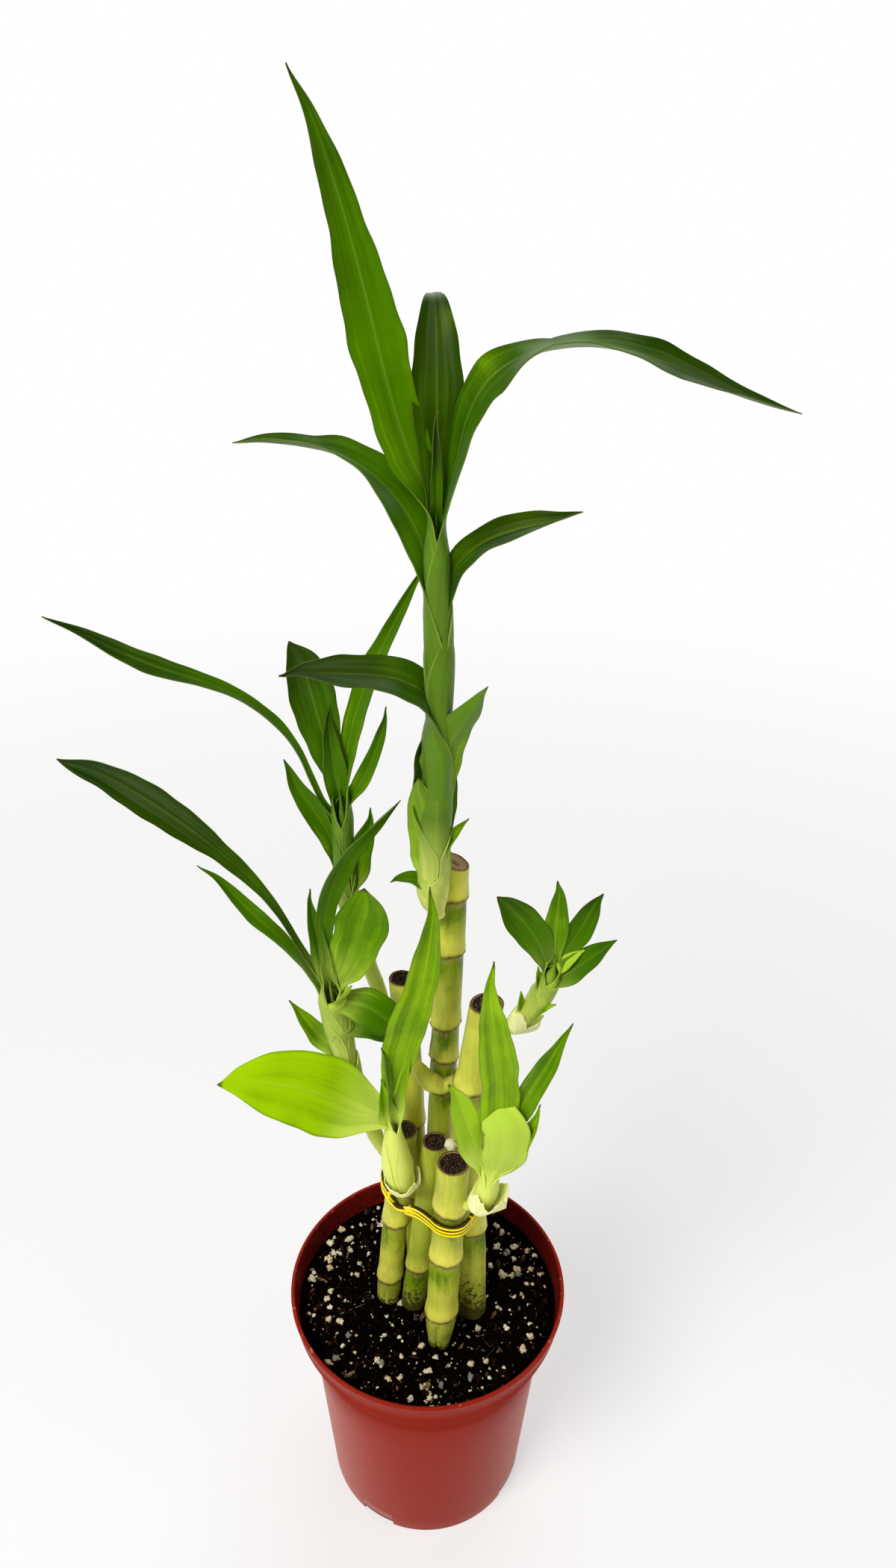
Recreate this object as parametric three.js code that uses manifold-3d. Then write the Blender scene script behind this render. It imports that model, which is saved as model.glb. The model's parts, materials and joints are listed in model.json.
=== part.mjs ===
// A lucky bamboo in its nursery pot: six cut canes held by a wire tie, each shoot with its leaves,
// standing in potting soil. Millimetres, +Z up, the origin at the middle of the pot's flat base.
// Headings are degrees in plan: 0 is +X, 90 is +Y. The front of the plant is -Y.

import * as THREE from "three";
import { mergeVertices } from "three/addons/utils/BufferGeometryUtils.js";
import Module from "manifold-3d";

const wasm = await Module();
wasm.setup();

// Driving dimensions

const GAP = 0.3; // clearance between pieces that stand or rest against each other

const POT = { height: 88, rim: 45, collarZ: 76, collar: 43, shoulderZ: 70.5, shoulder: 38.4, base: 33.1 };
const WALL = 1.1;
const FLOOR = 1.5;
const POT_SIDES = 40;
const DRAIN = { count: 4, first: -120, width: 11.5, height: 2.2, inner: 26 };

const SOIL_TOP = 81;
const SOIL_BOTTOM = FLOOR + GAP;
const SOIL_ROUGHNESS = 0.9;
const SOIL_EDGE_DROP = 1.5; // the soil is this much lower against the wall
const GRAINS = { count: 34, smallest: 1.2, largest: 2.1 };

const CANE_FOOT = 44; // how high the canes' lower ends are in the soil
const CANE_SIDES = 12;
const HOLE_TOP = SOIL_TOP + 12;

const BLADE = 0.7; // thickness of a leaf
const LEAF_STEP = 8; // length of a leaf between its cross-sections
const WIDE_LEAF = 9; // a leaf wider than this bends across each half too
const COLLAR_WALL = 0.7; // thickness of a papery collar

const TIE = { height: 3.6, thickness: 1.15, sides: 40 };

// Canes: points of the axis as [x, y, z], the first at the soil, radius, heights of the ringed nodes
// and the slope of the cut across the top.

const CANES = {
  cane_front: { axis: [[3.7, -17, 81], [7.1, -17, 162]], radius: 4.75, nodes: [96.5, 122, 144], slope: [0, 0] },
  cane_left: { axis: [[-13.2, -0.4, 81], [-7.5, 1, 156.5]], radius: 4, nodes: [91.5, 117.5], slope: [0, 0] },
  cane_middle: { axis: [[-4.8, -2.5, 81], [2, -7, 160]], radius: 3.95, nodes: [101], slope: [0, 0] },
  cane_right: {
    axis: [[14.4, -5, 81], [11.6, -5.5, 178], [15.7, -6, 212]],
    radius: 4.8,
    nodes: [121.5, 182],
    slope: [0.05, 0],
  },
  cane_tall: {
    axis: [[2, 5, 81], [4, 4, 172], [6.2, 2, 253.5]],
    radius: 4.05,
    nodes: [112, 143, 171.5, 184.5, 197.5, 223.5, 243],
    slope: [-0.35, 0],
  },
  cane_back: {
    axis: [[-3.2, 12.6, 81], [-5.4, 10.4, 165], [-8, 9, 208.5]],
    radius: 3.75,
    nodes: [118, 150, 190],
    slope: [0, 0],
  },
};

// Height of the wire tie at a few headings round the bundle
const TIE_HEIGHTS = [[-82, 140], [-50, 138], [20, 135], [90, 135], [150, 136.5], [183, 132], [278, 140]];

// Shoots. The stem is a list of [x, y, z, radius] from its root on the cane. Each leaf is
// [height of its root on the stem, heading, length, width, rise of each stretch, roll at root and tip, options].
// A rise of 90 is straight up. Roll turns the blade about its midrib. The options are neck, the width
// at the root as a share of the widest, fold, the angle that the two halves are raised by, and blunt,
// which keeps the blade wide nearer to its tip.

const SHEATH = { neck: 0.75, fold: 38 };
const NARROW = { neck: 0.35, fold: 30 };
const PADDLE = { neck: 0.4, fold: 10, blunt: 1 };

const SHOOTS = {
  shoot_top: {
    stem: [
      [2.2, -2.6, 240.5, 1.7],
      [0.9, -4.6, 246, 3.2],
      [0.9, -4.9, 258, 3.5],
      [1.6, -4, 284, 3.2],
      [1.7, -3.4, 312, 3],
      [0.9, -3, 338, 2.3],
      [0.7, -3, 349, 0.7],
    ],
    leaves: [
      [345, 180, 92, 10.4, [70, 77, 75, 69], [-60, -95], { neck: 0.5, blunt: 0.4 }],
      [341, 94, 60, 10.6, [87, 85, 83, 79, 52, -20], [10, -5], { neck: 0.35, fold: 20, blunt: 1.4 }],
      [343, 180, 27, 2.8, [90, 88], [-90, -90], { neck: 0.8, fold: 50 }],
      [338, 0, 110, 10, [80, 75, 19, -10, -21, -19], [50, 10], NARROW],
      [324, 180, 67, 9.8, [79, 61, 38, 8, 2], [-65, -25], { neck: 0.35, fold: 30, blunt: 0.6 }],
      [314.5, -8, 53, 7.8, [84, 72, 28, 17, 19], [40, 25], SHEATH],
      [292, 200, 51, 10.4, [80, 33, 11, 11, 14], [-30, -56], { neck: 0.75, fold: 30, blunt: 0.5 }],
      [274, -20, 38, 7.8, [87, 67, 56, 69], [50, 60], SHEATH],
      [251, 215, 34, 10, [85, 83, 76, 74], [-50, -50], SHEATH],
      [254, -5, 20, 4.4, [72, 60, 54], [40, 40], SHEATH],
      [249, 185, 12, 4.8, [34, 12, -16], [-20, -20], SHEATH],
      [266, 105, 31, 12.4, [84, 80, 84], [5, 5], { neck: 0.75, fold: 20, blunt: 1 }],
    ],
  },
  shoot_back: {
    stem: [
      [-12.6, 10.9, 196.5, 1.4],
      [-15, 11.4, 203, 2.3],
      [-20.6, 11, 224, 2.4],
      [-23, 10.4, 240, 2.5],
      [-23.4, 10, 262, 2.2],
      [-24.2, 10, 276, 0.8],
    ],
    leaves: [
      [251.5, 180, 103, 6.4, [71, 70, 38, 18, 26, 32], [-60, -58], { neck: 0.4 }],
      [264, 183, 50, 12.4, [80, 79, 78, 76], [-85, -80], { neck: 0.35, fold: 12, blunt: 1.4 }],
      [263, 184, 32, 6.4, [83, 86, 88], [-80, -80], SHEATH],
      [265, 5, 72, 6.4, [83, 72, 64, 64], [75, 75], { neck: 0.5 }],
      [263, 0, 34, 4.4, [62, 70, 77], [70, 70], NARROW],
      [243, 185, 40, 6.6, [75, 64, 62, 77], [-80, -80], SHEATH],
      [237, -4, 29, 8, [72, 75, 80], [70, 70], SHEATH],
    ],
  },
  shoot_left: {
    stem: [
      [-13, -2, 149, 1.6],
      [-15.8, -2.2, 157, 2.4],
      [-20.4, -1, 172, 2.7],
      [-24, -0.4, 187, 3],
      [-26, -1.2, 201, 3.5],
      [-27, -2.2, 210, 3.2],
      [-27.5, -2.8, 217, 1],
    ],
    leaves: [
      [202, 180, 63, 5.6, [69, 59, 50, 53, 50], [-60, -75], SHEATH],
      [210, 181, 103, 8.4, [67, 66, 51, 44, 39, 29], [-60, -72], { neck: 0.4, blunt: 0.5 }],
      [212, 181, 36, 4.8, [80, 84, 83], [-80, -80], SHEATH],
      [211, 192, 68, 5.6, [86, 92, 110, 129, 136], [-85, -60], { neck: 0.55 }],
      [211, -6, 37, 13.6, [68, 72, 77, 87], [75, 88], PADDLE],
      [209, -14, 23, 10.8, [6, -24, -38, -48], [40, 20], PADDLE],
      [199.5, -10, 16, 5.6, [-6, -22, -30], [30, 20], SHEATH],
      [187, 184, 27, 6.4, [50, 62, 60], [-70, -70], SHEATH],
      [210, -35, 11, 5, [36, 68], [20, 20], SHEATH],
    ],
  },
  shoot_centre: {
    stem: [
      [-6.8, -8.6, 142, 2.4],
      [-7.9, -10.2, 147, 4],
      [-9.2, -11, 155, 4.4],
      [-10, -11.4, 164, 3.4],
      [-10.2, -11.5, 173, 0.9],
    ],
    leaves: [
      [170, 183, 54, 22, [38, 30, 11, 5], [-46, -38], { neck: 0.3, fold: 6, blunt: 0.6 }],
      [165, -4, 91, 9.6, [91, 79, 75, 82, 86], [80, 88], { neck: 0.5 }],
      [167, -8, 34, 4.8, [82, 79], [60, 70], SHEATH],
      [168, 192, 22, 5.6, [79, 84], [-80, -80], SHEATH],
      [169, 215, 34, 4.8, [84, 86], [-60, -60], SHEATH],
    ],
  },
  shoot_front: {
    stem: [
      [12, -19.9, 148, 1.7],
      [14.6, -21.6, 151, 3.2],
      [16.4, -22.8, 157, 3.4],
      [17.1, -23.4, 164, 2.7],
      [17.5, -23.5, 172, 0.8],
    ],
    leaves: [
      [160, -62, 33, 13, [78, 84, 98, 168], [15, 0], { neck: 0.5, fold: 10, blunt: 1 }],
      [161, 192, 42, 10, [70, 77, 83], [-80, -80], { neck: 0.6, fold: 20, blunt: 0.8 }],
      [163, 10, 78, 10.2, [84, 90, 97, 97, 92], [85, 90], { neck: 0.5 }],
      [166, 8, 56, 6.8, [72, 68, 66, 70], [60, 65], NARROW],
      [162, -4, 33, 6, [58, 68, 76], [55, 60], SHEATH],
    ],
  },
  shoot_right: {
    stem: [
      [21.05, -6, 202.2, 1.7],
      [25, -6, 205.8, 2.6],
      [29.2, -6, 212, 2.7],
      [32.3, -6, 220, 2.4],
      [34, -6, 229, 0.8],
    ],
    leaves: [
      [220, 177, 32, 7.8, [78, 60, 52, 49], [-65, -78], { neck: 0.45, blunt: 0.5 }],
      [222, 60, 30, 5.8, [84, 89, 88], [20, 20], { neck: 0.35, fold: 30, blunt: 0.5 }],
      [223, 6, 28, 5.4, [64, 66, 68], [65, 72], NARROW],
      [222, -6, 16, 4.4, [52, 49, 43], [50, 50], NARROW],
      [218, -16, 26, 6.2, [46, 50, 46], [20, 10], SHEATH],
      [216, 200, 10, 3.4, [66, 96], [-60, -60], SHEATH],
      [208, 185, 9, 3.2, [65, 100], [-60, -60], SHEATH],
      [207, -25, 12, 4, [40, 43], [30, 30], SHEATH],
    ],
  },
};

// Papery collars round the foot of a shoot: the stretch of its stem, as shares of it, how far the
// torn edge stands out and the heading of the side that it does so on, away from the cane.
const COLLARS = {
  collar_centre: { shoot: "shoot_centre", from: 0.12, to: 0.32, flare: 2, side: 215 },
  collar_front: { shoot: "shoot_front", from: 0.16, to: 0.5, flare: 2.6, side: -40 },
  collar_right: { shoot: "shoot_right", from: 0.12, to: 0.36, flare: 1.4, side: -20 },
};

// Colours of the materials

const finish = (color, roughness) => new THREE.MeshStandardMaterial({ color, roughness, metalness: 0 });
const POT_PLASTIC = finish(0xa8402e, 0.42);
const SOIL_MIX = finish(0x20150f, 0.95);
const CANE_SKIN = finish(0xa9b35a, 0.5);
const LEAF_GREEN = finish(0x4d8a12, 0.42);
const PAPERY_SHEATH = finish(0xc8cd96, 0.8);
const TIE_FOIL = finish(0xe9b21e, 0.35);

// Solids and meshes

// A closed geometry as a solid, with its shared vertices merged and its empty triangles left out.
function solidOf(geometry) {
  const bare = new THREE.BufferGeometry();
  bare.setAttribute("position", geometry.getAttribute("position"));
  bare.setIndex(geometry.getIndex());
  const merged = mergeVertices(bare, 1e-4);
  const index = merged.getIndex().array;
  const kept = [];
  for (let i = 0; i < index.length; i += 3) {
    const [a, b, c] = index.slice(i, i + 3);
    if (a !== b && b !== c && c !== a) kept.push(a, b, c);
  }
  const vertProperties = new Float32Array(merged.getAttribute("position").array);
  return new wasm.Manifold(new wasm.Mesh({ numProp: 3, vertProperties, triVerts: new Uint32Array(kept) }));
}

function meshOf(name, solid, material) {
  const { vertProperties, triVerts } = solid.getMesh();
  const geometry = new THREE.BufferGeometry();
  geometry.setAttribute("position", new THREE.BufferAttribute(vertProperties, 3));
  geometry.setIndex(new THREE.BufferAttribute(triVerts, 1));
  geometry.computeVertexNormals();
  const mesh = new THREE.Mesh(geometry, material);
  mesh.name = name;
  return mesh;
}

const union = (solids) => solids.reduce((whole, piece) => whole.add(piece));

// The largest body of a solid, so that a hollow sealed where pieces cross is filled.
const largestBody = (solid) => solid.decompose().reduce((a, b) => (b.volume() > a.volume() ? b : a));

const radians = THREE.MathUtils.degToRad;

// A turned solid about +Z, from a profile of [radius, height] that starts and ends on the axis.
function turned(profile, sides) {
  const points = profile.map(([r, z]) => new THREE.Vector2(r, z));
  return new THREE.LatheGeometry(points, sides).rotateX(Math.PI / 2);
}

// Moves each vertex of a geometry by a function of its place.
function reshape(geometry, move) {
  const place = geometry.getAttribute("position");
  const point = new THREE.Vector3();
  for (let i = 0; i < place.count; i++) {
    point.fromBufferAttribute(place, i);
    move(point);
    place.setXYZ(i, point.x, point.y, point.z);
  }
  return geometry;
}

// Random numbers from 0 to 1 that are the same at every run.
function seeded(seed) {
  let state = seed;
  return () => {
    state = (state * 1664525 + 1013904223) % 4294967296;
    return state / 4294967296;
  };
}

// Pot

function potRadius(z) {
  const stations = [[0, POT.base], [POT.shoulderZ, POT.shoulder], [POT.collarZ, POT.collar], [POT.height, POT.rim]];
  const above = stations.findIndex(([height]) => height >= z) || 1;
  const [[z0, r0], [z1, r1]] = stations.slice(above - 1, above + 1);
  return THREE.MathUtils.mapLinear(z, z0, z1, r0, r1);
}

function pot() {
  const { height, rim, collarZ, collar, shoulderZ, shoulder, base } = POT;
  const outside = [
    [base - 0.5, 0],
    [base, 0.5],
    [shoulder, shoulderZ],
    [shoulder + 1.4, shoulderZ + 1.2],
    [collar - 0.8, collarZ - 1.6],
    [collar, collarZ],
    [rim - 0.1, height - 0.8],
    [rim - 0.5, height],
  ];
  const inside = [
    [rim - WALL - 0.2, height],
    [rim - WALL - 0.3, height - 0.8],
    [collar - WALL, collarZ - 0.4],
    [shoulder - WALL, shoulderZ - 0.6],
    [base - WALL, FLOOR],
  ];
  const shell = solidOf(turned([[0, 0], ...outside, ...inside, [0, FLOOR]], POT_SIDES));
  const slotLength = base + 2 - DRAIN.inner;
  const slots = Array.from({ length: DRAIN.count }, (_, i) => {
    const slot = new THREE.BoxGeometry(slotLength, DRAIN.width, 2 * DRAIN.height);
    slot.translate(DRAIN.inner + slotLength / 2, 0, 0);
    return solidOf(slot.rotateZ(radians(DRAIN.first + (i * 360) / DRAIN.count)));
  });
  return meshOf("pot", shell.subtract(union(slots)), POT_PLASTIC);
}

// Soil

function soilHeight(x, y) {
  const lumps = Math.sin(0.31 * x + 1) * Math.cos(0.27 * y) + 0.6 * Math.sin(0.62 * y - 0.5 * x + 2);
  const crumbs = 0.45 * Math.sin(1.25 * x + 0.4) * Math.sin(1.1 * y + 1.3);
  return SOIL_TOP + SOIL_ROUGHNESS * (0.5 * lumps + crumbs);
}

function soil() {
  const edgeHeight = SOIL_TOP - SOIL_EDGE_DROP;
  const inset = WALL + GAP + 0.1;
  const rings = [38.5, 33, 28, 23, 18, 13, 8, 4];
  const profile = [
    [0, SOIL_BOTTOM],
    [POT.base - inset, SOIL_BOTTOM],
    [POT.shoulder - inset, POT.shoulderZ - 0.8],
    [POT.collar - inset, POT.collarZ - 0.4],
    [potRadius(edgeHeight) - inset, edgeHeight],
    ...rings.map((r) => [r, SOIL_TOP]),
    [0, SOIL_TOP],
  ];
  const body = reshape(turned(profile, POT_SIDES), (p) => {
    if (p.z === SOIL_TOP) p.z = soilHeight(p.x, p.y);
  });
  const holes = Object.values(CANES).map((cane) => solidOf(canePost(cane, GAP, CANE_FOOT - GAP, HOLE_TOP)));
  return meshOf("soil", union([solidOf(body), ...grains()]).subtract(union(holes)), SOIL_MIX);
}

// Grains of perlite, half sunk in the soil at random places clear of the canes.
function grains() {
  const random = seeded(7);
  const found = [];
  while (found.length < GRAINS.count) {
    const reach = 37 * Math.sqrt(random());
    const heading = 2 * Math.PI * random();
    const x = reach * Math.cos(heading);
    const y = reach * Math.sin(heading);
    const size = THREE.MathUtils.lerp(GRAINS.smallest, GRAINS.largest, random() ** 2);
    const clear = Object.values(CANES).every(({ axis: [[cx, cy]] }) => Math.hypot(x - cx, y - cy) > 8);
    if (!clear) continue;
    const grain = new THREE.OctahedronGeometry(size);
    grain.scale(1, 0.8, 0.8);
    grain.rotateX(random() * 3).rotateZ(random() * 6);
    found.push(solidOf(grain.translate(x, y, soilHeight(x, y) + 0.2 * size)));
  }
  return found;
}

// Canes

// Where a cane's axis is at a height. Its first stretch goes on straight down into the soil.
function axisAt({ axis }, z) {
  const above = Math.max(1, axis.findIndex((point) => point[2] >= z));
  const last = z > axis.at(-1)[2] ? axis.length - 1 : above;
  const [[x0, y0, z0], [x1, y1, z1]] = axis.slice(last - 1, last + 1);
  const share = (z - z0) / (z1 - z0);
  return new THREE.Vector2(x0 + share * (x1 - x0), y0 + share * (y1 - y0));
}

function alongAxis(geometry, cane) {
  return reshape(geometry, (p) => {
    const centre = axisAt(cane, p.z);
    p.x += centre.x;
    p.y += centre.y;
  });
}

// A plain round post on the cane's axis, wider than the cane by the clearance given.
function canePost(cane, clearance, low, high) {
  const r = cane.radius * 1.06 + clearance;
  const profile = [[0, low], [r, low], [r, high], [0, high]];
  return alongAxis(turned(profile, CANE_SIDES), cane);
}

// The skin is drawn in at each ringed node and swells just above it. The cut end is slightly hollow.
function caneProfile({ axis, radius, nodes }) {
  const top = axis.at(-1)[2];
  const profile = [[0, CANE_FOOT], [radius * 0.94, CANE_FOOT]];
  for (const z of nodes) {
    profile.push([radius * 0.97, z - 1.1], [radius * 1.05, z], [radius * 1.06, z + 1.3], [radius, z + 5]);
  }
  profile.push([radius, top - 0.8], [radius * 0.93, top], [radius * 0.78, top - 0.5], [0, top - 0.7]);
  return profile;
}

function cane(name, spec) {
  const top = spec.axis.at(-1)[2];
  const [slopeX, slopeY] = spec.slope;
  const post = reshape(turned(caneProfile(spec), CANE_SIDES), (p) => {
    if (p.z > top - 1.2) p.z += slopeX * p.x + slopeY * p.y;
  });
  return meshOf(name, solidOf(alongAxis(post, spec)), CANE_SKIN);
}

// Tie

// The convex outline of a set of points in plan, by Andrew's monotone chain.
function outlineOf(points) {
  const sorted = [...points].sort((a, b) => a.x - b.x || a.y - b.y);
  const halfOutline = (list) => {
    const chain = [];
    for (const p of list) {
      while (chain.length > 1 && turnsRight(chain.at(-2), chain.at(-1), p)) chain.pop();
      chain.push(p);
    }
    return chain.slice(0, -1);
  };
  return [...halfOutline(sorted), ...halfOutline(sorted.reverse())];
}

function turnsRight(a, b, c) {
  return (b.x - a.x) * (c.y - a.y) - (b.y - a.y) * (c.x - a.x) <= 0;
}

// How far the bundle's outline is from its middle at a heading.
function reachAt(outline, heading) {
  const ray = new THREE.Vector2(Math.cos(heading), Math.sin(heading));
  return Math.max(
    ...outline.map((a, i) => {
      const b = outline[(i + 1) % outline.length];
      const side = new THREE.Vector2().subVectors(b, a);
      const scale = ray.cross(side);
      const along = a.cross(side) / scale;
      const share = a.cross(ray) / scale;
      return scale !== 0 && share >= -1e-6 && share <= 1 + 1e-6 ? along : -1;
    }),
  );
}

// Wire tie: three strands side by side round the bundle, drawn tight over the canes it meets.
function tie() {
  const level = 135;
  const middle = new THREE.Vector2(1, -4);
  const skin = Object.values(CANES).flatMap((spec) =>
    Array.from({ length: 24 }, (_, i) => {
      const turn = (2 * Math.PI * i) / 24;
      const reach = spec.radius * 1.06 + GAP;
      return new THREE.Vector2(reach * Math.cos(turn), reach * Math.sin(turn)).add(axisAt(spec, level)).sub(middle);
    }),
  );
  const outline = outlineOf(skin);
  const half = TIE.height / 2;
  const strand = TIE.height / 3;
  const valley = TIE.thickness * 0.6;
  const profile = [[0, -half], [TIE.thickness, -strand], [valley, -strand / 2], [TIE.thickness, 0]];
  profile.push([valley, strand / 2], [TIE.thickness, strand], [0, half], [0, -half]);
  const bundleRadius = 100;
  const ring = turned(profile.map(([r, z]) => [bundleRadius + r, z]), TIE.sides);
  reshape(ring, (p) => {
    const heading = Math.atan2(p.y, p.x);
    const reach = reachAt(outline, heading) + Math.hypot(p.x, p.y) - bundleRadius;
    p.set(middle.x + reach * Math.cos(heading), middle.y + reach * Math.sin(heading), p.z + tieHeight(heading));
  });
  return meshOf("wire_tie", solidOf(ring), TIE_FOIL);
}

function tieHeight(heading) {
  const degrees = THREE.MathUtils.euclideanModulo(THREE.MathUtils.radToDeg(heading) + 82, 360) - 82;
  const next = TIE_HEIGHTS.findIndex(([at]) => at > degrees);
  const [[a0, z0], [a1, z1]] = TIE_HEIGHTS.slice(next - 1, next + 1);
  return THREE.MathUtils.lerp(z0, z1, THREE.MathUtils.smoothstep(degrees, a0, a1));
}

// Shoots

function spineOf(points) {
  return new THREE.CatmullRomCurve3(points.map(([x, y, z]) => new THREE.Vector3(x, y, z)));
}

function stemRadius(points, share) {
  const at = share * (points.length - 1);
  const low = Math.min(Math.floor(at), points.length - 2);
  return THREE.MathUtils.lerp(points[low][3], points[low + 1][3], at - low);
}

// Bends a solid turned about +Z onto a spine, whose start is at height 0 and whose end is at 1.
function alongSpine(geometry, spine) {
  return reshape(geometry, (p) => {
    const share = THREE.MathUtils.clamp(p.z, 0, 1);
    const ahead = spine.getTangent(share);
    const right = new THREE.Vector3(0, 1, 0).cross(ahead).normalize();
    const back = new THREE.Vector3().crossVectors(ahead, right);
    const centre = spine.getPoint(share);
    p.copy(centre.addScaledVector(right, p.x).addScaledVector(back, p.y));
  });
}

// A stem with rounded sides along its points, closed at both ends.
function stemOf(points) {
  const steps = 2 * (points.length - 1);
  const profile = [[0, 0]];
  for (let i = 0; i <= steps; i++) profile.push([stemRadius(points, i / steps), i / steps]);
  profile.push([0, 1]);
  return solidOf(alongSpine(turned(profile, 8), spineOf(points)));
}

// A thin sleeve round a stem, with a torn edge that flares on one side.
function collar(name, { shoot: host, from, to, flare, side }) {
  const points = SHOOTS[host].stem;
  const inner = (share) => stemRadius(points, share) * 1.06 + GAP;
  const sleeve = [from, (from + to) / 2, to].map((share) => [inner(share), share]);
  const skin = sleeve.map(([r, share]) => [r + COLLAR_WALL, share]);
  const ring = turned([...skin, ...sleeve.reverse(), skin[0]], 16);
  reshape(ring, (p) => {
    const heading = Math.atan2(p.y, p.x);
    const facing = 0.5 + 0.5 * Math.cos(heading - radians(side));
    const up = (p.z - from) / (to - from);
    const teeth = 0.16 * Math.sin(5 * heading) + 0.1 * Math.sin(7 * heading + 1);
    const spread = 1 + (flare * up * facing ** 2) / Math.hypot(p.x, p.y);
    p.set(p.x * spread, p.y * spread, p.z + teeth * (p.z - from));
  });
  return meshOf(name, solidOf(alongSpine(ring, spineOf(points))), PAPERY_SHEATH);
}

function pointAtHeight(spine, z) {
  return spine.getSpacedPoints(80).reduce((best, p) => (Math.abs(p.z - z) < Math.abs(best.z - z) ? p : best));
}

// A value along a list of stretches, smooth from the middle of one stretch to the middle of the next.
function alongList(list, share) {
  const at = THREE.MathUtils.clamp(share * list.length - 0.5, 0, list.length - 1);
  const low = Math.min(Math.floor(at), list.length - 2);
  return THREE.MathUtils.lerp(list[low], list[low + 1], at - low);
}

// A leaf is widest before its middle and drawn out to a sharp tip.
function widthShare(share, neck, blunt) {
  const belly = 0.42;
  if (share < belly) return neck + (1 - neck) * Math.sin((Math.PI / 2) * (share / belly)) ** 1.3;
  const past = (share - belly) / (1 - belly);
  return Math.max(0.04, (1 - past ** (2 + blunt)) ** 1.05);
}

// One leaf blade: cross-sections along its midrib, folded up along the midrib and waved at the edges.
function blade(root, [, heading, length, width, rises, [rootRoll, tipRoll], options], phase) {
  const { neck = 0.4, fold = 22, blunt = 0 } = options;
  const steps = Math.max(5, Math.ceil(length / LEAF_STEP));
  const across = width > WIDE_LEAF ? [-1, -0.5, 0, 0.5, 1] : [-1, 0, 1];
  const plan = new THREE.Vector3(Math.cos(radians(heading)), Math.sin(radians(heading)), 0);
  const level = new THREE.Vector3(-plan.y, plan.x, 0);
  const centre = root.clone();
  const rings = [];
  for (let i = 0; i <= steps; i++) {
    const share = i / steps;
    const rise = radians(alongList(rises, share));
    const ahead = plan.clone().multiplyScalar(Math.cos(rise)).setZ(Math.sin(rise));
    const roll = radians(THREE.MathUtils.lerp(rootRoll, tipRoll, share));
    const side = level.clone().applyAxisAngle(ahead, roll);
    const up = new THREE.Vector3().crossVectors(ahead, side);
    const half = (width / 2) * widthShare(share, neck, blunt);
    const raised = radians(fold * (1 - 0.6 * Math.sin(Math.PI * Math.min(1, 1.6 * share)) ** 2));
    const wave = 0.09 * half * Math.sin(Math.PI * share);
    const top = across.map((v) => {
      const ripple = wave * Math.abs(v) * Math.sin(9 * share + phase + 1.5 * v);
      return centre
        .clone()
        .addScaledVector(side, v * half * Math.cos(raised))
        .addScaledVector(up, Math.abs(v) * half * Math.sin(raised) + ripple);
    });
    const under = top.map((p) => p.clone().addScaledVector(up, -BLADE));
    rings.push([...top, ...under.reverse()]);
    centre.addScaledVector(ahead, length / steps);
  }
  return loft(rings);
}

// Closes a row of like cross-sections. Each has its top points, then its under points the other way,
// and both faces are split into triangles alike.
function loft(rings) {
  const size = rings[0].length;
  const half = size / 2;
  const index = [];
  const quad = (a, b, c, d, swap) => (swap ? index.push(a, d, b, b, d, c) : index.push(a, c, b, a, d, c));
  for (let i = 0; i + 1 < rings.length; i++) {
    for (let j = 0; j < size; j++) {
      const k = (j + 1) % size;
      quad(i * size + j, i * size + k, (i + 1) * size + k, (i + 1) * size + j, j >= half);
    }
  }
  const last = (rings.length - 1) * size;
  for (let j = 0; j + 1 < half; j++) {
    const facing = size - 1 - j;
    quad(j, facing, facing - 1, j + 1, false);
    quad(last + j, last + j + 1, last + facing - 1, last + facing, false);
  }
  const geometry = new THREE.BufferGeometry().setFromPoints(rings.flat());
  return geometry.setIndex(index);
}

function shoot(name, { stem: points, leaves }) {
  const spine = spineOf(points);
  const blades = leaves.map((leaf, i) => solidOf(blade(pointAtHeight(spine, leaf[0]), leaf, 2.4 * i)));
  return meshOf(name, largestBody(union([stemOf(points), ...blades])), LEAF_GREEN);
}

const group = new THREE.Group();
group.add(pot(), soil(), tie());
for (const [name, spec] of Object.entries(CANES)) group.add(cane(name, spec));
for (const [name, spec] of Object.entries(SHOOTS)) group.add(shoot(name, spec));
for (const [name, spec] of Object.entries(COLLARS)) group.add(collar(name, spec));

export default group;
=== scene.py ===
# Lucky bamboo in a nursery pot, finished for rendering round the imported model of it.
# The tables of canes and shoots are in millimetres, and the pieces are made in metres.
import json
import math
from collections import namedtuple

import bmesh
import bpy
import numpy as np
from mathutils import Matrix, Vector, noise

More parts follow.
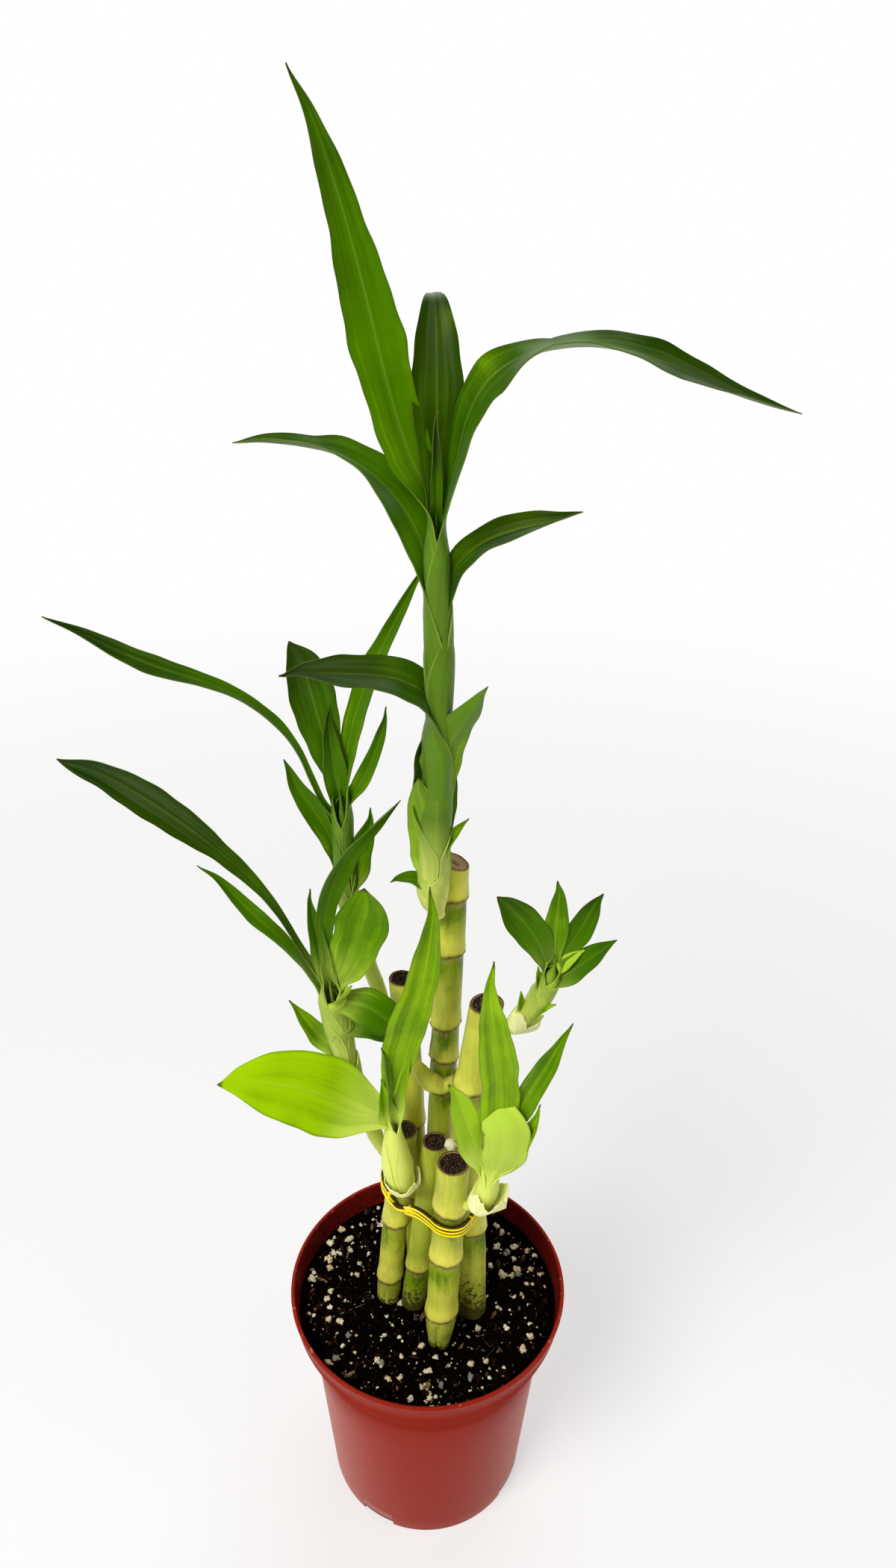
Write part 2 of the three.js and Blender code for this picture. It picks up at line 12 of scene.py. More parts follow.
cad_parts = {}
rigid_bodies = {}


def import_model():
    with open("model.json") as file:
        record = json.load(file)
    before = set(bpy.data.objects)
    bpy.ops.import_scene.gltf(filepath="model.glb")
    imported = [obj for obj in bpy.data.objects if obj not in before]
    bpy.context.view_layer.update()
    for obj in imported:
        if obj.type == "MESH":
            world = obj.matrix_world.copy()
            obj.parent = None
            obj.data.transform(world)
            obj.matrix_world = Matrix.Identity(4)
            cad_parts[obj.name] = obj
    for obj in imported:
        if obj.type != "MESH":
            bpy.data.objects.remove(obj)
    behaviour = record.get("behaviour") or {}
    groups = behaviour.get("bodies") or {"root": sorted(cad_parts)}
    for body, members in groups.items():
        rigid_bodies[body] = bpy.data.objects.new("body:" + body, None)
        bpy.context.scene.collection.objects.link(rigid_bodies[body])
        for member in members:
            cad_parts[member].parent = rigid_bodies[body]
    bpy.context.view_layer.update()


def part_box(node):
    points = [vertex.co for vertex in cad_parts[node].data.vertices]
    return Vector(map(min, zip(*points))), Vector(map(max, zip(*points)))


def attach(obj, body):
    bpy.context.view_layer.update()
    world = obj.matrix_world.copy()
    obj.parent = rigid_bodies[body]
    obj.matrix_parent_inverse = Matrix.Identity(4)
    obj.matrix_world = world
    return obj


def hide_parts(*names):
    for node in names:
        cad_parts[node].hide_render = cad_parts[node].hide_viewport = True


bl_info = {
    "name": "Lucky bamboo in a nursery pot",
    "version": (1, 0, 0),
    "blender": (4, 5, 0),
    "location": "3D View > Sidebar > Lucky bamboo",
    "description": "Builds the pot, soil, canes, wire tie and leafy shoots round the packed model",
    "category": "Add Mesh",
}

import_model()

MM = 0.001

# Sizes that the solids have, in millimetres

POT_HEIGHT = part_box("pot")[1].z / MM
RIM_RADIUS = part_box("pot")[1].x / MM
COLLAR = (43, 76)  # radius and height of the collar's lower edge
SHOULDER = (38.4, 70.5)  # radius and height where the tapered body ends
BASE_RADIUS = 33.1
FLOOR = 1.5
DRAIN = {"count": 4, "first": -120, "width": 11.5, "height": 2.2, "inner": 26}

SOIL_TOP = 81
SOIL_EDGE = 79.5
SOIL_BOTTOM = 1.8
LODGED_GRAIN = (6.4, -8.8, 160.7, 1.75)  # place and radius

CANE_FOOT = 44
FINE_FROM = 76  # height over which a cane has fine rings
SMEARED_SIDE = -110  # heading of the side with the most soil on it
TIE_LEVEL = 135
TIE_MIDDLE = (1, -4)
TIE_START = -82  # heading in degrees
TIE_STEPS = 260
TIE_HEIGHTS = [(-82, 140), (-50, 138), (20, 135), (90, 135), (150, 136.5), (183, 132), (278, 140)]

# Canes: points of the axis, radius, heights of the ringed nodes, how green the skin is, how much soil is
# smeared on it, slope of the cut top, how much the foot tapers and how dry the cut end is. One has a side
# bud, as points with its radius there.

Cane = namedtuple("Cane", "axis radius nodes green smear slope foot dry bud", defaults=(0, 0, 0, None))

BUD = [
    (-4.2, 0, 187.5, 0.5), (-3, -1.6, 184, 2), (0.2, -2.2, 179.5, 3),
    (4.2, -2, 177.6, 2.4), (7, -1.8, 180, 1.3), (8, -1.8, 183.5, 0.3),
]
TALL_NODES = [112, 143, 171.5, 184.5, 197.5, 223.5, 243]
CANES = {
    "cane_front": Cane([(3.7, -17, 81), (7.1, -17, 162)], 4.75, [96.5, 122, 144], 0.62, 0.1, foot=0.28),
    "cane_left": Cane(
        [(-13.2, -0.4, 81), (-7.5, 1, 156.5)], 4, [91.5, 117.5], 0.42, 0.08, foot=0.1, dry=0.1
    ),
    "cane_middle": Cane([(-4.8, -2.5, 81), (2, -7, 160)], 3.95, [101], 0.88, 0.6),
    "cane_right": Cane(
        [(14.4, -5, 81), (11.6, -5.5, 178), (15.7, -6, 212)], 4.8, [121.5, 182], 0.55, 0.75, slope=0.05
    ),
    "cane_tall": Cane(
        [(2, 5, 81), (4, 4, 172), (6.2, 2, 253.5)], 4.05, TALL_NODES, 0.56, 0.1, -0.35, dry=0.9, bud=BUD
    ),
    "cane_back": Cane(
        [(-3.2, 12.6, 81), (-5.4, 10.4, 165), (-8, 9, 208.5)], 3.75, [118, 150, 190], 0.4, 0.2
    ),
}

# Shoots: how soon the pale foot of the stem turns green, points of the stem with its radius there, and
# the leaves. Each leaf is the height of its root on the stem, heading, length, width, rise of each
# stretch, rolls from root to tip, form, and tone from 0, deep green, to 1, lime, and paler over 1. The
# form is the width at the root as a share of the widest, the angle that the halves are folded up by, how
# blunt the leaf is and where along it it is widest.

Shoot = namedtuple("Shoot", "fade stem leaves")
SHEATH = (0.75, 38, 0, 0.42)
NARROW = (0.35, 30, 0, 0.42)

SHOOTS = {
    "shoot_top": Shoot(
        3.2,
        [
            (2.2, -2.6, 240.5, 1.7), (0.9, -4.6, 246, 3.2), (0.9, -4.9, 258, 3.5),
            (1.6, -4, 284, 3.2), (1.7, -3.4, 312, 3), (0.9, -3, 338, 2.3), (0.7, -3, 349, 0.7),
        ],
        [
            (345, 180, 92, 11.4, [70, 77, 75, 69], (-60, -72, -88, -80, -95),
             (0.76, 14, -0.45, 0.42), 0.38),
            (341, 94, 60, 11.2, [87, 85, 83, 79, 52, -20], (18, 10, -12), (0.26, 6, -0.2, 0.52), 0.12),
            (343, 180, 27, 2.8, [90, 88], (-90, -90), (0.8, 50, 0, 0.42), 0.2),
            (338, 0, 110, 9.6, [80, 75, 19, -10, -25, -12], (24, 24, 36, 50, -4, 14, 44, 16, 4),
             (0.6, 22, 0.4, 0.48), 0.19),
            (324, 180, 67, 10.2, [79, 61, 38, 8, 2], (-65, -60, -38, -4, -6), (0.5, 28, 0.6, 0.38), 0.32),
            (314.5, -8, 53, 7.4, [84, 72, 28, 17, 19], (40, 56, 30), (0.4, 32, 0.4, 0.6), 0.08),
            (292, 200, 51, 10.4, [80, 33, 11, 11, 14], (-30, -56), (0.75, 26, 0.5, 0.42), 0.13),
            (274, -20, 38, 10, [87, 67, 56, 69], (-70, -62, -50), (0.85, 20, 0.2, 0.4), 0.48),
            (251, 215, 34, 11, [85, 83, 76, 74], (55, 50), (0.7, 14, 0.2, 0.42), 0.62),
            (254, -5, 20, 4.8, [72, 60, 54], (40, 40), SHEATH, 0.62),
            (249, 185, 12, 4.8, [34, 12, -16], (-20, -20), SHEATH, 0.45),
            (266, 105, 31, 12.4, [84, 80, 84], (5, 5), (0.75, 20, 1, 0.42), 0.26),
        ],
    ),
    "shoot_back": Shoot(
        1.5,
        [
            (-12.6, 10.9, 196.5, 1.4), (-15, 11.4, 203, 2.3), (-20.6, 11, 224, 2.4),
            (-23, 10.4, 240, 2.5), (-23.4, 10, 262, 2.2), (-24.2, 10, 276, 0.8),
        ],
        [
            (251.5, 180, 103, 5.4, [71, 70, 38, 18, 26, 32], (-60, -50, -14, -58, -36),
             (0.3, 34, 0.3, 0.74), 0.3),
            (264, 183, 50, 11.4, [80, 79, 78, 76], (-88, -72), (0.32, 10, 1.8, 0.58), 0.28),
            (263, 184, 32, 6.4, [83, 86, 88], (-80, -80), SHEATH, 0.34),
            (265, 5, 72, 5.8, [83, 72, 64, 64], (75, 55, 75), (0.5, 22, 0, 0.42), 0.42),
            (263, 0, 34, 4.4, [62, 70, 77], (70, 70), NARROW, 0.45),
            (243, 185, 40, 6.6, [75, 64, 62, 77], (-80, -80), (0.6, 24, 0.3, 0.5), 0.46),
            (237, -4, 29, 8, [72, 75, 80], (70, 70), SHEATH, 0.55),
        ],
    ),
    "shoot_left": Shoot(
        0.75,
        [
            (-13, -2, 149, 1.6), (-15.8, -2.2, 157, 2.4), (-20.4, -1, 172, 2.7),
            (-24, -0.4, 187, 3), (-26, -1.2, 201, 3.5), (-27, -2.2, 210, 3.2),
            (-27.5, -2.8, 217, 1),
        ],
        [
            (202, 180, 63, 4.6, [69, 59, 50, 53, 50], (-60, -10, -60, -20), (0.5, 24, 0.2, 0.6), 0.5),
            (210, 181, 103, 9, [67, 66, 51, 44, 39, 29], (-60, -40, -72, -76), (0.2, 18, 0.8, 0.78), 0.12),
            (212, 181, 36, 5.2, [80, 84, 83], (-80, -80), SHEATH, 0.5),
            (211, 192, 68, 7, [86, 92, 110, 129, 136], (-85, -60), (0.5, 22, 0.2, 0.62), 0.46),
            (211, -6, 39, 14, [68, 72, 77, 87], (75, 88), (0.45, 10, 2.4, 0.52), 0.6),
            (209, -14, 23, 11, [6, -24, -38, -48], (40, 20), (0.5, 10, 1.6, 0.5), 0.46),
            (199.5, -10, 16, 5.6, [-6, -22, -30], (30, 20), SHEATH, 0.42),
            (187, 184, 27, 6.4, [50, 62, 60], (-70, -70), SHEATH, 0.66),
            (210, -35, 11, 5, [36, 68], (20, 20), SHEATH, 1.15),
        ],
    ),
    "shoot_centre": Shoot(
        0.12,
        [
            (-6.8, -8.6, 142, 2.4), (-7.9, -10.2, 147, 4), (-9.2, -11, 155, 4.3),
            (-10, -11.4, 164, 2.6), (-10.2, -11.5, 173, 0.9),
        ],
        [
            (170, 183, 54, 22, [38, 30, 11, 5], (-46, -38), (0.3, 6, 0.4, 0.44), 0.85),
            (165, -4, 91, 10.2, [91, 79, 75, 82, 86], (80, 88), (0.45, 18, 0, 0.48), 0.66),
            (167, -8, 34, 4.8, [82, 79], (60, 70), SHEATH, 0.85),
            (168, 192, 22, 5.6, [79, 84], (-80, -80), SHEATH, 0.8),
            (169, 215, 34, 4.8, [84, 86], (-60, -60), SHEATH, 0.6),
        ],
    ),
    "shoot_front": Shoot(
        0.3,
        [
            (12, -19.9, 148, 1.7), (14.6, -21.6, 151, 3), (16.4, -22.8, 157, 2.9),
            (17.1, -23.4, 164, 2), (17.5, -23.5, 172, 0.8),
        ],
        [
            (160, -40, 33, 12.4, [68, 78, 98, 168], (-50, -44), (0.26, 8, 22, 0.5), 1.32),
            (161, 192, 42, 8.8, [74, 75, 76], (-84, -80), (0.5, 10, 0.6, 0.46), 1.04),
            (163, 10, 78, 11, [84, 90, 97, 97, 92], (85, 90), (0.5, 18, 0, 0.42), 0.74),
            (166, 8, 56, 7, [72, 68, 66, 70], (60, 65), (0.4, 26, 0.2, 0.5), 0.6),
            (162, -4, 33, 6, [58, 68, 76], (55, 60), SHEATH, 0.75),
        ],
    ),
    "shoot_right": Shoot(
        1.1,
        [
            (21.05, -6, 202.2, 1.7), (25, -6, 205.8, 2.6), (29.2, -6, 212, 2.7),
            (32.3, -6, 220, 2.4), (34, -6, 229, 0.8),
        ],
        [
            (220, 177, 32, 9.2, [78, 60, 52, 49], (-65, -78), (0.4, 12, 1.4, 0.55), 0.34),
            (222, 60, 30, 6.4, [84, 89, 88], (20, 20), (0.35, 18, 0.4, 0.5), 0.56),
            (223, 6, 28, 6.8, [64, 66, 68], (65, 72), (0.35, 20, 0.4, 0.52), 0.38),
            (222, -6, 13, 3.6, [52, 49, 43], (50, 50), NARROW, 1.2),
            (218, -16, 26, 8, [46, 50, 46], (36, 30), (0.6, 14, 0.4, 0.45), 0.4),
            (216, 200, 10, 3.4, [66, 96], (-60, -60), SHEATH, 0.7),
            (208, 185, 9, 3.2, [65, 100], (-60, -60), SHEATH, 0.75),
            (207, -25, 12, 4, [40, 43], (30, 30), SHEATH, 0.8),
        ],
    ),
}

# Papery collars: shoot, stretch of its stem in shares, how far the torn edge stands out and the
# heading of the side that it does so on.

COLLARS = {
    "collar_centre": ("shoot_centre", 0.12, 0.34, 1.5, -50),
    "collar_front": ("shoot_front", 0.14, 0.52, 3.4, -30),
    "collar_right": ("shoot_right", 0.12, 0.36, 1.4, -20),
}

PLANT_MIDDLE = (0, 0, 0.16)  # in metres, where the lights point
CAMERA_PLACE = (0, -258.2, 429)
CAMERA_PITCH = 30.3  # degrees down
CAMERA_YAW = 0.94
CAMERA_ROLL = 0.85
CAMERA_LENS = 27.42  # for a sensor whose long side is 36 mm


# Colours

def colour(red, green, blue):
    """A display colour from 0 to 255 as linear red, green, blue and alpha."""
    parts = (red, green, blue)
    linear = [((part / 255 + 0.055) / 1.055) ** 2.4 if part > 10 else part / 3294.6 for part in parts]
    return (*linear, 1.0)


def tint_property(label, text, *parts):
    return bpy.props.FloatVectorProperty(
        name=label, description=text, subtype="COLOR", size=4, min=0, max=1, default=colour(*parts)
    )


def number_property(label, text, value, **settings):
    return bpy.props.FloatProperty(name=label, description=text, default=value, min=0, **settings)


def length_property(label, text, millimetres):
    return number_property(label, text, millimetres * MM, unit="LENGTH", precision=5)


class PotLook(bpy.types.PropertyGroup):
    """Sizes and colours of the nursery pot."""

    wall: length_property("Wall", "Thickness of the pot's wall", 1.1)
    plastic: tint_property("Plastic", "Colour of the moulded plastic", 152, 38, 20)
    # Colour of the painted sheen on the pot's sides, and of the scuffs on its rim
    bloom: tint_property("Bloom", "Colour of the dull bloom on its sides", 220, 150, 138)


class SoilLook(bpy.types.PropertyGroup):
    """Sizes, amounts and colours of the potting soil."""

    crumb: length_property("Crumb", "Radius of the largest crumbs", 1.3)
    grain: length_property("Perlite grain", "Radius of the largest perlite grains", 1.5)
    crumbs: number_property("Crumbs", "Crumbs to a square metre", 380000)
    grains: number_property("Perlite grains", "Perlite grains to a square metre", 106000)
    peat: tint_property("Peat", "Colour of the moist peat", 9, 4, 2)
    perlite: tint_property("Perlite", "Colour of the perlite", 234, 224, 194)
    bark: tint_property("Bark", "Colour of bark and fibres", 136, 104, 64)


class CaneLook(bpy.types.PropertyGroup):
    """Colours of the canes."""

    pale: tint_property("Pale skin", "Colour of the skin above a node", 220, 216, 84)
    green: tint_property("Green skin", "Colour of the skin below a node", 124, 150, 16)
    deep: tint_property("Deep green", "Colour of the darkest patches", 64, 92, 0)
    ring: tint_property("Ring", "Colour of the ring at a node", 74, 40, 16)
    cut: tint_property("Cut end", "Colour of the dried cut end", 34, 20, 12)


class TieLook(bpy.types.PropertyGroup):
    """Sizes and colours of the wire tie."""

    strand: length_property("Strand", "Radius of a strand", 0.78)
    foil: tint_property("Foil", "Colour of the foil", 255, 228, 10)
    # Colour of the painted shade between the strands
    core: tint_property("Core", "Colour of the dark lines", 30, 16, 2)


class LeafLook(bpy.types.PropertyGroup):
    """Sizes and colours of the leafy shoots."""

    blade: length_property("Blade", "Thickness of a leaf", 0.36)
    deep: tint_property("Deep green", "Colour of the oldest leaves", 20, 48, 0)
    fresh: tint_property("Fresh green", "Colour of most leaves", 62, 106, 0)
    lime: tint_property("Lime", "Colour of the youngest leaves", 152, 194, 6)
    pale: tint_property("Pale", "Colour of the sheaths round the stem", 240, 246, 120)
    # Colour of the painted sheen on older leaves
    bloom: tint_property("Bloom", "Dull shine of the older leaves at shallow angles", 98, 116, 84)


class StageLook(bpy.types.PropertyGroup):
    """Floor and light."""

    floor: tint_property("Floor", "Colour of the floor", 248, 248, 246)
    glow: number_property("Glow", "Share of the floor's brightness that is its own", 0.5, max=1)
    sky: number_property("Sky", "Strength of the even light", 0.22)


LOOKS = {
    "pot": PotLook,
    "soil": SoilLook,
    "cane": CaneLook,
    "tie": TieLook,
    "leaf": LeafLook,
    "stage": StageLook,
}


def look(name):
    """The property group of one kind of piece."""
    return getattr(bpy.context.scene, "bamboo_" + name)


# Nodes

def feed(node, **inputs):
    """Plugs values and wires into a node's inputs by their names."""
    for key, value in inputs.items():
        plug(node.inputs[key.replace("_", " ")], value)


def new_node(tree, kind, settings=None):
    made = tree.nodes.new(kind)
    for key, value in (settings or {}).items():
        setattr(made, key, value)
    return made


def add_node(tree, kind, output=0, settings=None, **inputs):
    """Adds a node and gives the wire from one of its outputs."""
    made = new_node(tree, kind, settings)
    feed(made, **inputs)
    return Wire(made.outputs[output])


def plug(socket, value):
    """Sets a node's input to a value, or links it to a wire."""
    if isinstance(value, Wire):
        socket.id_data.links.new(value.socket, socket)
    else:
        socket.default_value = value


class Wire:
    """The output of a node. Sums and products with numbers and other wires are Math nodes."""

    def __init__(self, socket):
        self.socket = socket

    def maths(self, operation, *values, clamp=False):
        """The wire from a Math node over this wire and other values."""
        made = new_node(self.socket.id_data, "ShaderNodeMath", {"operation": operation, "use_clamp": clamp})
        for socket, value in zip(made.inputs, (self, *values)):
            plug(socket, value)
        return Wire(made.outputs[0])

    def __add__(self, value):
        return self.maths("ADD", value)

    def __sub__(self, value):
        return self.maths("SUBTRACT", value)

    def __mul__(self, value):
        return self.maths("MULTIPLY", value)

    def times(self, factor, plus):
        """This wire times a factor, plus a number or another wire."""
        return self.maths("MULTIPLY_ADD", factor, plus)

    def step(self, low, high):
        """0 where the value is under low, 1 over high, smooth between. Low may be the larger."""
        ends = {"From_Min": min(low, high), "From_Max": max(low, high)}
        levels = {"To_Min": float(low > high), "To_Max": float(low < high)}
        smooth = {"interpolation_type": "SMOOTHSTEP"}
        return add_node(self.socket.id_data, "ShaderNodeMapRange", 0, smooth, Value=self, **ends, **levels)


class Paint:
    """A material whose colour is painted in layers. The constants are for its main shader's sockets.

    A specular tint colours what is reflected head-on and leaves the sheen at shallow angles white.
    """

    def __init__(self, name, first, **constants):
        self.material = bpy.data.materials.new(name)
        self.material.use_nodes = True
        self.tree = self.material.node_tree
        self.shader = self.tree.nodes["Principled BSDF"]
        self.colour = first
        self.bumps = {}
        feed(self.shader, **constants)

    def node(self, kind, output=0, settings=None, **inputs):
        return add_node(self.tree, kind, output, settings, **inputs)

    def value(self, name):
        """A value that the mesh keeps at its points."""
        return self.node("ShaderNodeAttribute", "Fac", {"attribute_name": name})

    def facing(self):
        """0 where the surface faces the eye, 1 where it is seen edge-on."""
        return self.node("ShaderNodeLayerWeight", "Facing", Blend=0.5)

    def place(self, *stretch):
        """Object coordinates in millimetres, stretched."""
        scale = tuple(part / MM for part in stretch or (1, 1, 1))
        return self.node("ShaderNodeMapping", Vector=self.node("ShaderNodeTexCoord", "Object"), Scale=scale)

    def cloud(self, scale, detail=4, roughness=0.6, over=None):
        """A noise texture over a vector, or over the place in millimetres."""
        inputs = {"Vector": over or self.place(), "Scale": scale, "Detail": detail, "Roughness": roughness}
        return self.node("ShaderNodeTexNoise", "Fac", **inputs)

    def cells(self, scale, *stretch):
        """Distance from the middle of the nearest cell of a Voronoi texture."""
        return self.node("ShaderNodeTexVoronoi", "Distance", Vector=self.place(*stretch), Scale=scale)

    def blend(self, share, first, second):
        made = new_node(self.tree, "ShaderNodeMix", {"data_type": "RGBA"})
        for index, value in ((0, share), (6, first), (7, second)):
            plug(made.inputs[index], value)
        return Wire(made.outputs[2])

    def layer(self, share, over):
        """Blends the colour so far into another by a share."""
        self.colour = self.blend(share, self.colour, over)

    def bump(self, height, distance, strength):
        """Adds a bump of a height over a distance in millimetres to the bumps so far."""
        inputs = {"Height": height, "Distance": distance * MM, "Strength": strength, **self.bumps}
        self.bumps = {"Normal": self.node("ShaderNodeBump", **inputs)}

    def finish(self, **inputs):
        """The material, with its colour, its bumps and other inputs plugged into its shader."""
        feed(self.shader, Base_Color=self.colour, **self.bumps, **inputs)
        return self.material


# Mesh tools

class Form:
    """Points, faces and values of a piece, gathered from its parts in millimetres."""

    def __init__(self):
        self.points = []
        self.faces = []
        self.kinds = []
        self.values = {}
        self.count = 0

    def add(self, points, faces, kinds=0, **values):
        """Adds points and faces. Kinds is the material of every face or of each."""
        points = np.asarray(points, float).reshape(-1, 3)
        self.points.append(points)
        self.faces.extend(tuple(int(corner) + self.count for corner in face) for face in faces)
        self.kinds.extend(kinds if isinstance(kinds, list) else [kinds] * len(faces))
        for key, value in values.items():
            full = np.broadcast_to(np.asarray(value, float), len(points))
            self.values.setdefault(key, []).append(full)
        self.count += len(points)
        return self

    def piece(self, name, materials, crease=55):
        """The gathered form as a smooth object, with edges kept sharp over the crease angle."""
        mesh = bpy.data.meshes.new(name)
        mesh.from_pydata((np.vstack(self.points) * MM).tolist(), [], self.faces)
        mesh.polygons.foreach_set("material_index", self.kinds)
        for key, value in self.values.items():
            layer = mesh.attributes.new(key, "FLOAT", "POINT")
            layer.data.foreach_set("value", np.concatenate(value).astype(np.float32))
        for material in materials:
            mesh.materials.append(material)
        mesh.shade_smooth()
        mesh.set_sharp_from_angle(angle=math.radians(crease))
        mesh.validate()
        return link(bpy.data.objects.new(name, mesh))


def link(piece):
    bpy.context.scene.collection.objects.link(piece)
    return piece


def settle(piece, slot, *nodes):
    """Makes a piece ride on the part's one body and stand for nodes. The slot is not used."""
    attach(piece, "root")
    if nodes:
        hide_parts(*nodes)


def applied(piece):
    """A plain mesh of a piece with its modifiers applied."""
    graph = bpy.context.evaluated_depsgraph_get()
    made = piece.evaluated_get(graph)
    return bpy.data.meshes.new_from_object(made, preserve_all_data_layers=True, depsgraph=graph)


def emptied(shape):
    """The points and faces of a bmesh, which is freed."""
    points = [vert.co.copy() for vert in shape.verts]
    faces = [[vert.index for vert in face.verts] for face in shape.faces]
    shape.free()
    return points, faces


def ball(level, radius=1):
    """The points and faces of a sphere of triangles."""
    shape = bmesh.new()
    bmesh.ops.create_icosphere(shape, subdivisions=level, radius=radius)
    return emptied(shape)


def unit(vectors):
    return vectors / np.maximum(np.linalg.norm(vectors, axis=-1, keepdims=True), 1e-9)


def smooth_step(low, high, value):
    share = np.clip((value - low) / (high - low), 0, 1)
    return share * share * (3 - 2 * share)


def wander(value, seed, octaves=4):
    """Smooth wandering numbers from about -1 to 1, the same for the same seed."""
    random = np.random.default_rng(seed)
    total = 0
    for octave in range(octaves):
        total = total + np.sin(value * 1.9**octave + random.uniform(0, 6.28)) / 1.5**octave
    return total / 2


def clouds(points, size, octaves=3):
    """Fractal noise at each point, with a grain of the size given."""
    return np.array([noise.fractal(Vector(point) / size, 1.0, 2.0, octaves) for point in points])


def tube_faces(rings, sides, cap_start=True, cap_end=True):
    """Faces round a row of rings, which run anticlockwise as seen from their end."""
    faces = []
    for ring in range(rings - 1):
        for side in range(sides):
            after = (side + 1) % sides
            low = ring * sides
            faces.append((low + side, low + after, low + sides + after, low + sides + side))
    if cap_start:
        faces.append(tuple(range(sides - 1, -1, -1)))
    if cap_end:
        faces.append(tuple((rings - 1) * sides + side for side in range(sides)))
    return faces


def hump(value, width):
    """1 at nought, falling smoothly on both sides."""
    return np.exp(-((value / width) ** 2))


def even_turns(sides):
    """Headings in radians, in even steps all the way round."""
    return np.arange(sides) * 2 * math.pi / sides


def direction(heading):
    """The level direction at a heading in degrees."""
    return np.array([math.cos(math.radians(heading)), math.sin(math.radians(heading)), 0])


def round_line(ahead, turn):
    """Directions square to a line, at headings round it."""
    right = unit(np.cross(np.array([0, 1, 0]), ahead))
    back = np.cross(ahead, right)
    return np.cos(turn)[:, None] * right + np.sin(turn)[:, None] * back


def tube_points(middle, ahead, radius, sides):
    """Rings of points round a line of middles, square to its direction."""
    return middle[:, None, :] + radius[:, None, None] * round_line(ahead[:, None, :], even_turns(sides))


def turned(profile, sides):
    """Points and faces of a solid turned about the vertical axis, from an outline of radii and heights."""
    turn = even_turns(sides)
    points = []
    for radius, height in profile:
        points.append(np.stack([radius * np.cos(turn), radius * np.sin(turn), np.full(sides, height)], 1))
    return np.vstack(points), tube_faces(len(profile), sides)


def curve_points(points, at):
    """Points on a smooth curve through a list, at places that are counted in the list."""
    points = np.asarray(points, float)
    padded = np.vstack([2 * points[0] - points[1], points, 2 * points[-1] - points[-2]])
    low = np.clip(np.floor(at).astype(int), 0, len(points) - 2)
    p0, p1, p2, p3 = (padded[low + step] for step in range(4))
    pairs = ((p0, p1), (p1, p2), (p2, p3))
    d0, d1, d2 = (np.linalg.norm(b - a, axis=1)[:, None] ** 0.5 + 1e-9 for a, b in pairs)
    start = ((p1 - p0) / d0 - (p2 - p0) / (d0 + d1) + (p2 - p1) / d1) * d1
    end = ((p2 - p1) / d1 - (p3 - p1) / (d1 + d2) + (p3 - p2) / d2) * d1
    t = (at - low)[:, None]
    return p1 + start * t + (3 * (p2 - p1) - 2 * start - end) * t**2 + (2 * (p1 - p2) + start + end) * t**3


# Geometry nodes

def new_tree(name, inputs):
    """A node tree with geometry in and out and named inputs, and the wires from its inputs."""
    tree = bpy.data.node_groups.new(name, "GeometryNodeTree")
    tree.interface.new_socket("Geometry", in_out="OUTPUT", socket_type="NodeSocketGeometry")
    for label, kind in {"Geometry": "Geometry", **inputs}.items():
        tree.interface.new_socket(label, in_out="INPUT", socket_type="NodeSocket" + kind)
    return tree, {socket.name: Wire(socket) for socket in tree.nodes.new("NodeGroupInput").outputs}


def end_tree(tree, geometry, finish):
    """Makes copies real, sets their material and sends them out of the tree."""
    real = add_node(tree, "GeometryNodeRealizeInstances", Geometry=geometry)
    coated = add_node(tree, "GeometryNodeSetMaterial", Geometry=real, Material=finish)
    plug(tree.nodes.new("NodeGroupOutput").inputs[0], coated)
    return tree


def grown(name, start, tree, **inputs):
    """The plain mesh object that a node tree makes from a start object, which is removed."""
    modifier = start.modifiers.new("Grow", "NODES")
    modifier.node_group = tree
    for key, value in inputs.items():
        modifier[tree.interface.items_tree[key].identifier] = value
    mesh = applied(start)
    mesh.name = name
    bpy.data.objects.remove(start)
    return link(bpy.data.objects.new(name, mesh))


def random_share(tree, seed):
    """A random number from 0 to 1 for each point or copy."""
    return add_node(tree, "FunctionNodeRandomValue", 1, {"data_type": "FLOAT"}, Seed=seed)


def stored(tree, geometry, name, value, domain="POINT"):
    """The geometry with a value kept on it under a name."""
    settings = {"data_type": "FLOAT", "domain": domain}
    made = new_node(tree, "GeometryNodeStoreNamedAttribute", settings)
    feed(made, Geometry=geometry, Name=name)
    plug(next(socket for socket in made.inputs if socket.name == "Value" and socket.enabled), value)
    return Wire(made.outputs[0])


def scatter_tree():
    """Scatters copies of a collection's objects over a surface, more where its room is larger."""
    inputs = {
        "Density": "Float",
        "Seed": "Int",
        "Smallest": "Float",
        "Largest": "Float",
        "Shapes": "Collection",
        "Finish": "Material",
    }
    tree, given = new_tree("scatter", inputs)
    number = {"data_type": "FLOAT"}
    room = add_node(tree, "GeometryNodeInputNamedAttribute", "Attribute", number, Name="room")
    points = add_node(
        tree,
        "GeometryNodeDistributePointsOnFaces",
        "Points",
        Mesh=given["Geometry"],
        Density=given["Density"] * room,
        Seed=given["Seed"],
    )
    shapes = add_node(
        tree,
        "GeometryNodeCollectionInfo",
        Collection=given["Shapes"],
        Separate_Children=True,
        Reset_Children=True,
    )
    turn = new_node(tree, "FunctionNodeRandomValue", {"data_type": "FLOAT_VECTOR"})
    turn.inputs[1].default_value = (6.28, 6.28, 6.28)
    few_large = random_share(tree, 3).maths("POWER", 3.3)
    copies = add_node(
        tree,
        "GeometryNodeInstanceOnPoints",
        Points=points,
        Instance=shapes,
        Pick_Instance=True,
        Rotation=Wire(turn.outputs[0]),
        Scale=few_large.times(given["Largest"] - given["Smallest"], given["Smallest"]),
    )
    kept = stored(tree, copies, "shade", random_share(tree, 8), "INSTANCE")
    return end_tree(tree, kept, given["Finish"])


